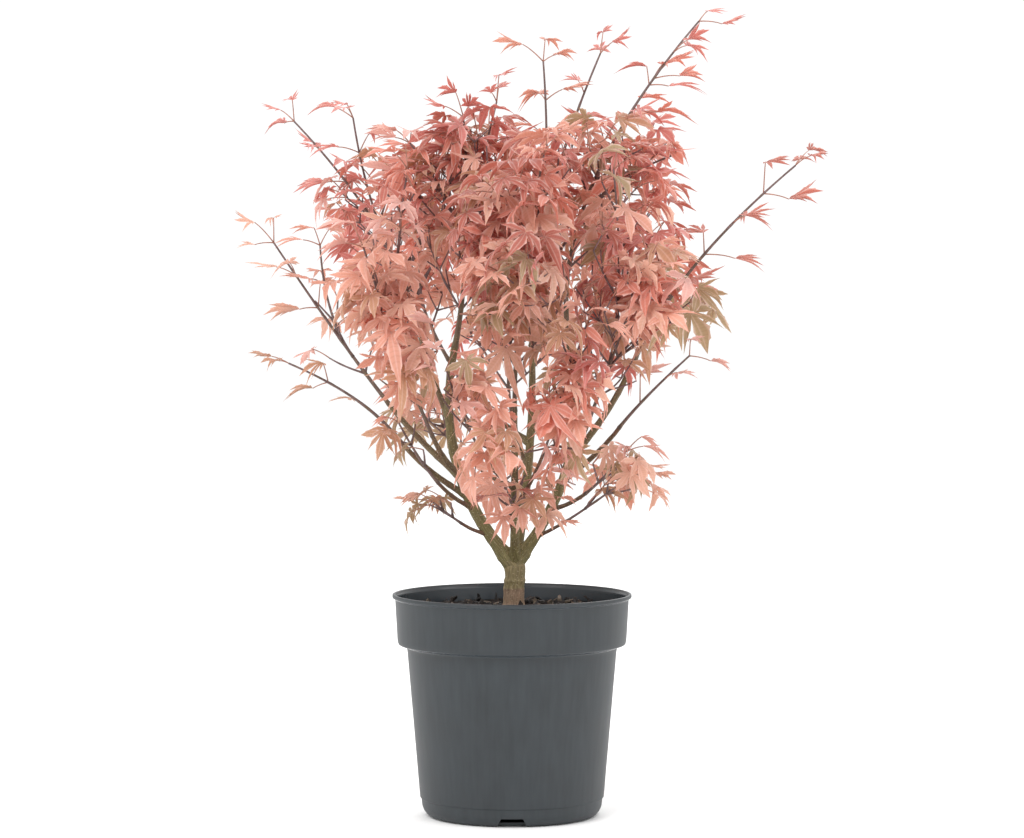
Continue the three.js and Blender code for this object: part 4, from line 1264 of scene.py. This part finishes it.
def grow_mass(place):
    """All shoots and leaves of a mass. Leaves may stand wherever no shoot grew, and along every shoot."""
    _, _, _, spread, shoots_to, leaf_length, leaf_count, seed = MASSES[place]
    chance = np.random.default_rng(seed)
    shoots, nodes, spots = grow_shoots(place, spread, shoots_to, chance)
    for node in nodes:
        if node["shoot"]["order"] > 0:
            spots += [(node, out) for out in node["pair"]]
        if node["share"] == 1:
            spots.append((node, node["forward"]))
    leaves, middles = [], np.empty((0, 3))
    rank = [rank_of(node, shoots_to) + 0.9 * chance.random() for node, _ in spots]
    for spot in np.argsort(rank, kind="stable"):
        node, out = spots[spot]
        if len(leaves) >= leaf_count:
            break
        lot = decide(chance)
        smaller = 1 - TIP_SIZE["leader" if node["shoot"]["order"] == 0 else "shoot"]
        full_length = leaf_length * (1 - smaller * node["share"] ** 2) * lot["size"]
        leaf = grow_leaf(node, out, full_length, lot, middles, place)
        if leaf:
            middles = np.concatenate([middles, leaf["middle"][None]])
            leaves.append(leaf)
    return shoots, leaves


crown = [grow_mass(place) for place in range(len(MASSES))]
all_shoots = [shoot for shoots, _ in crown for shoot in shoots]
all_leaves = [leaf for _, leaves in crown for leaf in leaves]
print("shoots:", len(all_shoots), "leaves:", len(all_leaves))
print("leaves of each mass:", [len(leaves) for _, leaves in crown])

# %% [markdown]
# ## Twigs and leaf stalks
#
# Twigs are tubes again, with a small swelling at each node. Young wood is dark reddish brown and turns
# grey-brown as it ages. The stalks are thinner, smooth and pink, and bow under the leaf.

# %% Twigs and stalks
TWIG_STEP = 5.0
TWIG_TAPER = 0.6
NODE_SWELLING = {"height": 0.2, "width": 2.2}
LEADER_SIDES, TWIG_SIDES, STALK_SIDES = 7, 5, 4
STALK_RADII = (0.62, 0.45)
STALK_POINTS = 6


def twig_tube(shoot):
    """A twig that tapers most near its foot and swells by a fifth at its nodes."""
    path = even_path(shoot["path"], TWIG_STEP)
    length = np.linspace(0, path_length(path), len(path))
    foot, tip = shoot["radii"]
    spacing = INTERNODE[shoot["order"]]
    to_node = np.abs((length + spacing / 2) % spacing - spacing / 2)
    swelling = 1 + NODE_SWELLING["height"] * np.exp(-(to_node / NODE_SWELLING["width"]) ** 2)
    girth = (foot + (tip - foot) * (length / length[-1]) ** TWIG_TAPER) * swelling
    return tube(path, girth, LEADER_SIDES if shoot["order"] == 0 else TWIG_SIDES)


def stalk_tube(leaf):
    """A thin stalk that bows under its leaf, thinner where the leaf is small."""
    share = 0.6 + 0.4 * leaf["blade"]["length"] / LARGE_LEAF
    radii = np.linspace(*STALK_RADII, STALK_POINTS) * share
    return tube(bend(*leaf["stalk"], STALK_POINTS), radii, STALK_SIDES)


twig_bark = maple_bark("maple_twig_bark", [
    (0.04, "#7D6263"), (0.1, "#6F5955"), (0.18, "#6B5948"), (0.3, "#6C5F43"),
], spots=0.25)
stalk_skin = maple_bark("leaf_stalk_skin", [
    (0.0, "#C08A78"), (0.05, "#B98573"), (0.1, "#A97C68"), (0.2, "#9C735E"),
], spots=0.0)
twigs = add_tubes("twigs", [twig_tube(shoot) for shoot in all_shoots], twig_bark, "foliage")
stalks = add_tubes("leaf_stalks", [stalk_tube(leaf) for leaf in all_leaves], stalk_skin, "foliage")

# %% [markdown]
# ## The leaves
#
# The leaves are rose and coral red at the top of the crown, salmon and peach below, with tawny and olive
# ones inside and dusty pink ones on the leaders' bare ends. A whole spray has one age, so a tint is dealt
# out to each shoot and its leaves take it, and each tint is one piece with one plain colour.
#
# A leaf blade is thin: light from behind shines through it. So a share of its shader is translucent, in a
# warmer tint of the same colour. Its veins, its pale edge, which is partly a painted highlight, and a slight
# mottling are drawn in the leaf's own coordinates, so they follow every lobe.

# %% The leaf finish
# Waves of veins along a large leaf's middle lobe, and the share of light that the blade lets through.
VEINS = 12
TRANSLUCENT_SHARE = 0.34


def maple_leaf_skin(name, hex_colour):
    """A thin matte blade: one colour, darker along the side veins, paler at the midribs, and paler at the
    edge, partly as a painted highlight.
    """
    material, tree = new_finish(name)
    place = add_node(tree, "ShaderNodeTexCoord")
    base = np.array(linear(hex_colour))
    dull, bright, vein, glowing = [
        tuple(np.minimum(base * [*shares, 1], 1))
        for shares in ((0.8, 0.74, 0.72), (1.16, 1.2, 1.2), (0.55, 0.42, 0.4), (1.2, 0.92, 0.84))
    ]
    # Mottling about 11 mm across.
    mottling = add_node(tree, "ShaderNodeTexNoise", {
        "Vector": place.outputs["Object"], "Scale": 90.0, "Detail": 3.0,
    })
    shades = {"Factor": mottling, "A": dull, "B": bright}
    mottled = add_node(tree, "ShaderNodeMix", shades, data_type="RGBA")
    across = add_node(tree, "ShaderNodeSeparateXYZ", {"Vector": place.outputs["UV"]})
    outwards, to_edge = across.outputs["X"], across.outputs["Y"]
    # Side veins leave the midrib at about 45 degrees, one every 3 mm on a leaf of 36 mm.
    slant = add_node(tree, "ShaderNodeMath", {0: to_edge, 1: -0.1, 2: outwards}, operation="MULTIPLY_ADD")
    phase = add_node(tree, "ShaderNodeMath", {0: slant, 1: 2 * np.pi * VEINS}, operation="MULTIPLY")
    veins = add_node(tree, "ShaderNodeMath", {0: phase}, operation="SINE")
    dark = add_node(tree, "ShaderNodeMapRange", {"Value": veins, "From Min": 0.2, "To Max": 0.24})
    shades = {"Factor": dark, "A": mottled, "B": vein}
    veined = add_node(tree, "ShaderNodeMix", shades, data_type="RGBA")
    # The midrib is paler. So is the edge: partly the thin blade, partly a painted highlight.
    fade = {"Value": to_edge, "From Max": 0.2, "To Min": 0.4, "To Max": 0.0}
    midrib = add_node(tree, "ShaderNodeMapRange", fade)
    # A painted highlight: the edge is mixed towards a pale pink.
    edge = add_node(tree, "ShaderNodeMapRange", {"Value": to_edge, "From Min": 0.68, "To Max": 0.62})
    light = add_node(tree, "ShaderNodeMath", {0: midrib, 1: edge}, operation="ADD")
    shades = {"Factor": light, "A": veined, "B": linear("#EFD3C8")}
    colour = add_node(tree, "ShaderNodeMix", shades, data_type="RGBA")
    bump = add_node(tree, "ShaderNodeBump", {"Height": veins, "Strength": 0.15, "Distance": 0.0001})
    front = add_node(tree, "ShaderNodeBsdfPrincipled", {
        "Base Color": colour, "Roughness": 0.5, "Specular IOR Level": 0.5, "Normal": bump,
        "Sheen Weight": 0.22, "Sheen Roughness": 0.5,
    })
    glow = add_node(tree, "ShaderNodeBsdfTranslucent", {"Color": glowing})
    blade = add_node(tree, "ShaderNodeMixShader", {0: TRANSLUCENT_SHARE, 1: front, 2: glow})
    add_node(tree, "ShaderNodeOutputMaterial", {"Surface": blade})
    return material


print("one side vein every", LARGE_LEAF / VEINS, "mm")

# %% Dealing out the tints
# Each tint: its colour, how often it is dealt at the foot and at the top of the crown, and how many times as
# often as that it is dealt inside the crown and on a leader.
TINTS = {
    "deep_coral_leaves": ("#B66A5B", 0.05, 1.6, 1.0, 0.3),
    "rose_leaves": ("#CC7F77", 0.1, 2.9, 0.9, 1.6),
    "coral_leaves": ("#D28674", 0.4, 3.2, 0.8, 0.5),
    "salmon_leaves": ("#D8A08C", 2.8, 1.4, 1.0, 1.3),
    "peach_leaves": ("#DBB09B", 2.9, 0.06, 0.9, 0.8),
    "dusty_pink_leaves": ("#DAACA2", 0.6, 0.16, 0.4, 11.0),
    "tawny_leaves": ("#BC9173", 1.5, 0.5, 2.2, 0.1),
    "olive_leaves": ("#A99472", 0.8, 0.02, 2.2, 0.0),
}
TINT_SEED = 78
INSIDE_RADIUS = 75.0
at_foot, at_top, more_inside, more_on_leaders = np.array([weights for _, *weights in TINTS.values()]).T
tint_chance = np.random.default_rng(TINT_SEED)


def tint_of(shoot):
    """The number of a tint for a whole spray, by how high in the crown its tip stands."""
    tip = shoot["path"][-1]
    towards_top = np.clip(height_share(tip[2]) * 1.8 - 0.4, 0, 1)
    weights = (1 - towards_top) * at_foot + towards_top * at_top
    if np.hypot(*tip[:2]) < INSIDE_RADIUS:
        weights = weights * more_inside
    if shoot["order"] == 0:
        weights = weights * more_on_leaders
    return tint_chance.choice(len(weights), p=weights / weights.sum())


spray_tints = {id(shoot): tint_of(shoot) for shoot in all_shoots}
leaf_tints = np.array([spray_tints[id(leaf["shoot"])] for leaf in all_leaves])
print("leaves of each tint:", dict(zip(TINTS, np.bincount(leaf_tints, minlength=len(TINTS)).tolist())))

# %% The leaves
blades = stacked([leaf["blade"] for leaf in all_leaves])
# A leaf's own coordinates: how far out a point lies, and 0 on a midrib or 1 on the edge.
leaf_uv = np.stack([leaf_rows[:, 1], leaf_rows[:, 2] > 0], axis=-1)
foliage = []
for tint, (name, (hex_colour, *_)) in enumerate(TINTS.items()):
    chosen = {fact: values[leaf_tints == tint] for fact, values in blades.items()}
    count = len(chosen["length"])
    points = carry_leaves(leaf_rows, chosen).reshape(-1, 3)
    faces = repeated(leaf_faces, count, len(leaf_rows))
    skin = maple_leaf_skin(name, hex_colour)
    foliage.append(add_piece(name, points, faces, skin, "foliage", uv=np.tile(leaf_uv, (count, 1))))
for piece in [twigs, stalks, *foliage]:
    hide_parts(*[mass[0] for mass in MASSES])

# %% [markdown]
# ## Floor and light
#
# The photograph is a cut-out on white with soft light from all round. A pale floor and a bright white
# surrounding give the same, and three large lamps above give the leaves and the pot their soft modelling.

# %% The floor
FLOOR_COLOUR = "#FBFBFA"
FLOOR_HALF = 30.0
FLOOR_HEIGHT = -0.0006


def matte_paper():
    """Pale backdrop paper with the faintest unevenness."""
    material, tree = new_finish("matte_paper")
    place = add_node(tree, "ShaderNodeTexCoord").outputs["Object"]
    fibres = add_node(tree, "ShaderNodeTexNoise", {"Vector": place, "Scale": 6.0, "Detail": 3.0})
    shades = {"Factor": fibres, "A": linear(FLOOR_COLOUR), "B": linear(WHITE)}
    colour = add_node(tree, "ShaderNodeMix", shades, data_type="RGBA")
    shader = add_node(tree, "ShaderNodeBsdfPrincipled", {
        "Base Color": colour, "Roughness": 0.9, "Specular IOR Level": 0.1,
    })
    add_node(tree, "ShaderNodeOutputMaterial", {"Surface": shader})
    return material


floor_mesh = bpy.data.meshes.new("paper_floor")
floor_signs = [(-1, -1), (1, -1), (1, 1), (-1, 1)]
floor_corners = [(x * FLOOR_HALF, y * FLOOR_HALF, FLOOR_HEIGHT) for x, y in floor_signs]
floor_mesh.from_pydata(floor_corners, [], [(0, 1, 2, 3)])
floor_mesh.materials.append(matte_paper())
paper_floor = bpy.data.objects.new("paper_floor", floor_mesh)
bpy.context.collection.objects.link(paper_floor)
print("floor", 2 * FLOOR_HALF, "m square")

# %% The light
LAMPS = {
    "key_lamp": {"place": (-1.6, -2.2, 2.6), "size": 2.2, "watts": 60.0},
    "fill_lamp": {"place": (2.2, -1.4, 1.8), "size": 2.4, "watts": 26.0},
    "rim_lamp": {"place": (0.4, 2.4, 2.2), "size": 2.0, "watts": 34.0},
}
AIM = np.array([0.0, 0.0, 0.35])

world = bpy.data.worlds.new("white_surrounding")
world.use_nodes = True
world.node_tree.nodes.clear()
sky = add_node(world.node_tree, "ShaderNodeBackground", {"Color": (1.0, 1.0, 1.0, 1.0), "Strength": 1.05})
add_node(world.node_tree, "ShaderNodeOutputWorld", {"Surface": sky.outputs[0]})
bpy.context.scene.world = world

for name, lamp in LAMPS.items():
    light = bpy.data.lights.new(name, "AREA")
    light.energy = lamp["watts"]
    light.size = lamp["size"]
    holder = bpy.data.objects.new(name, light)
    holder.location = lamp["place"]
    away = unit(np.array(lamp["place"]) - AIM)
    holder.rotation_euler = (np.arccos(away[2]), 0.0, np.arctan2(away[1], away[0]) + np.pi / 2)
    bpy.context.collection.objects.link(holder)
bpy.context.scene.view_settings.view_transform = "Standard"
print("lamps:", list(LAMPS))
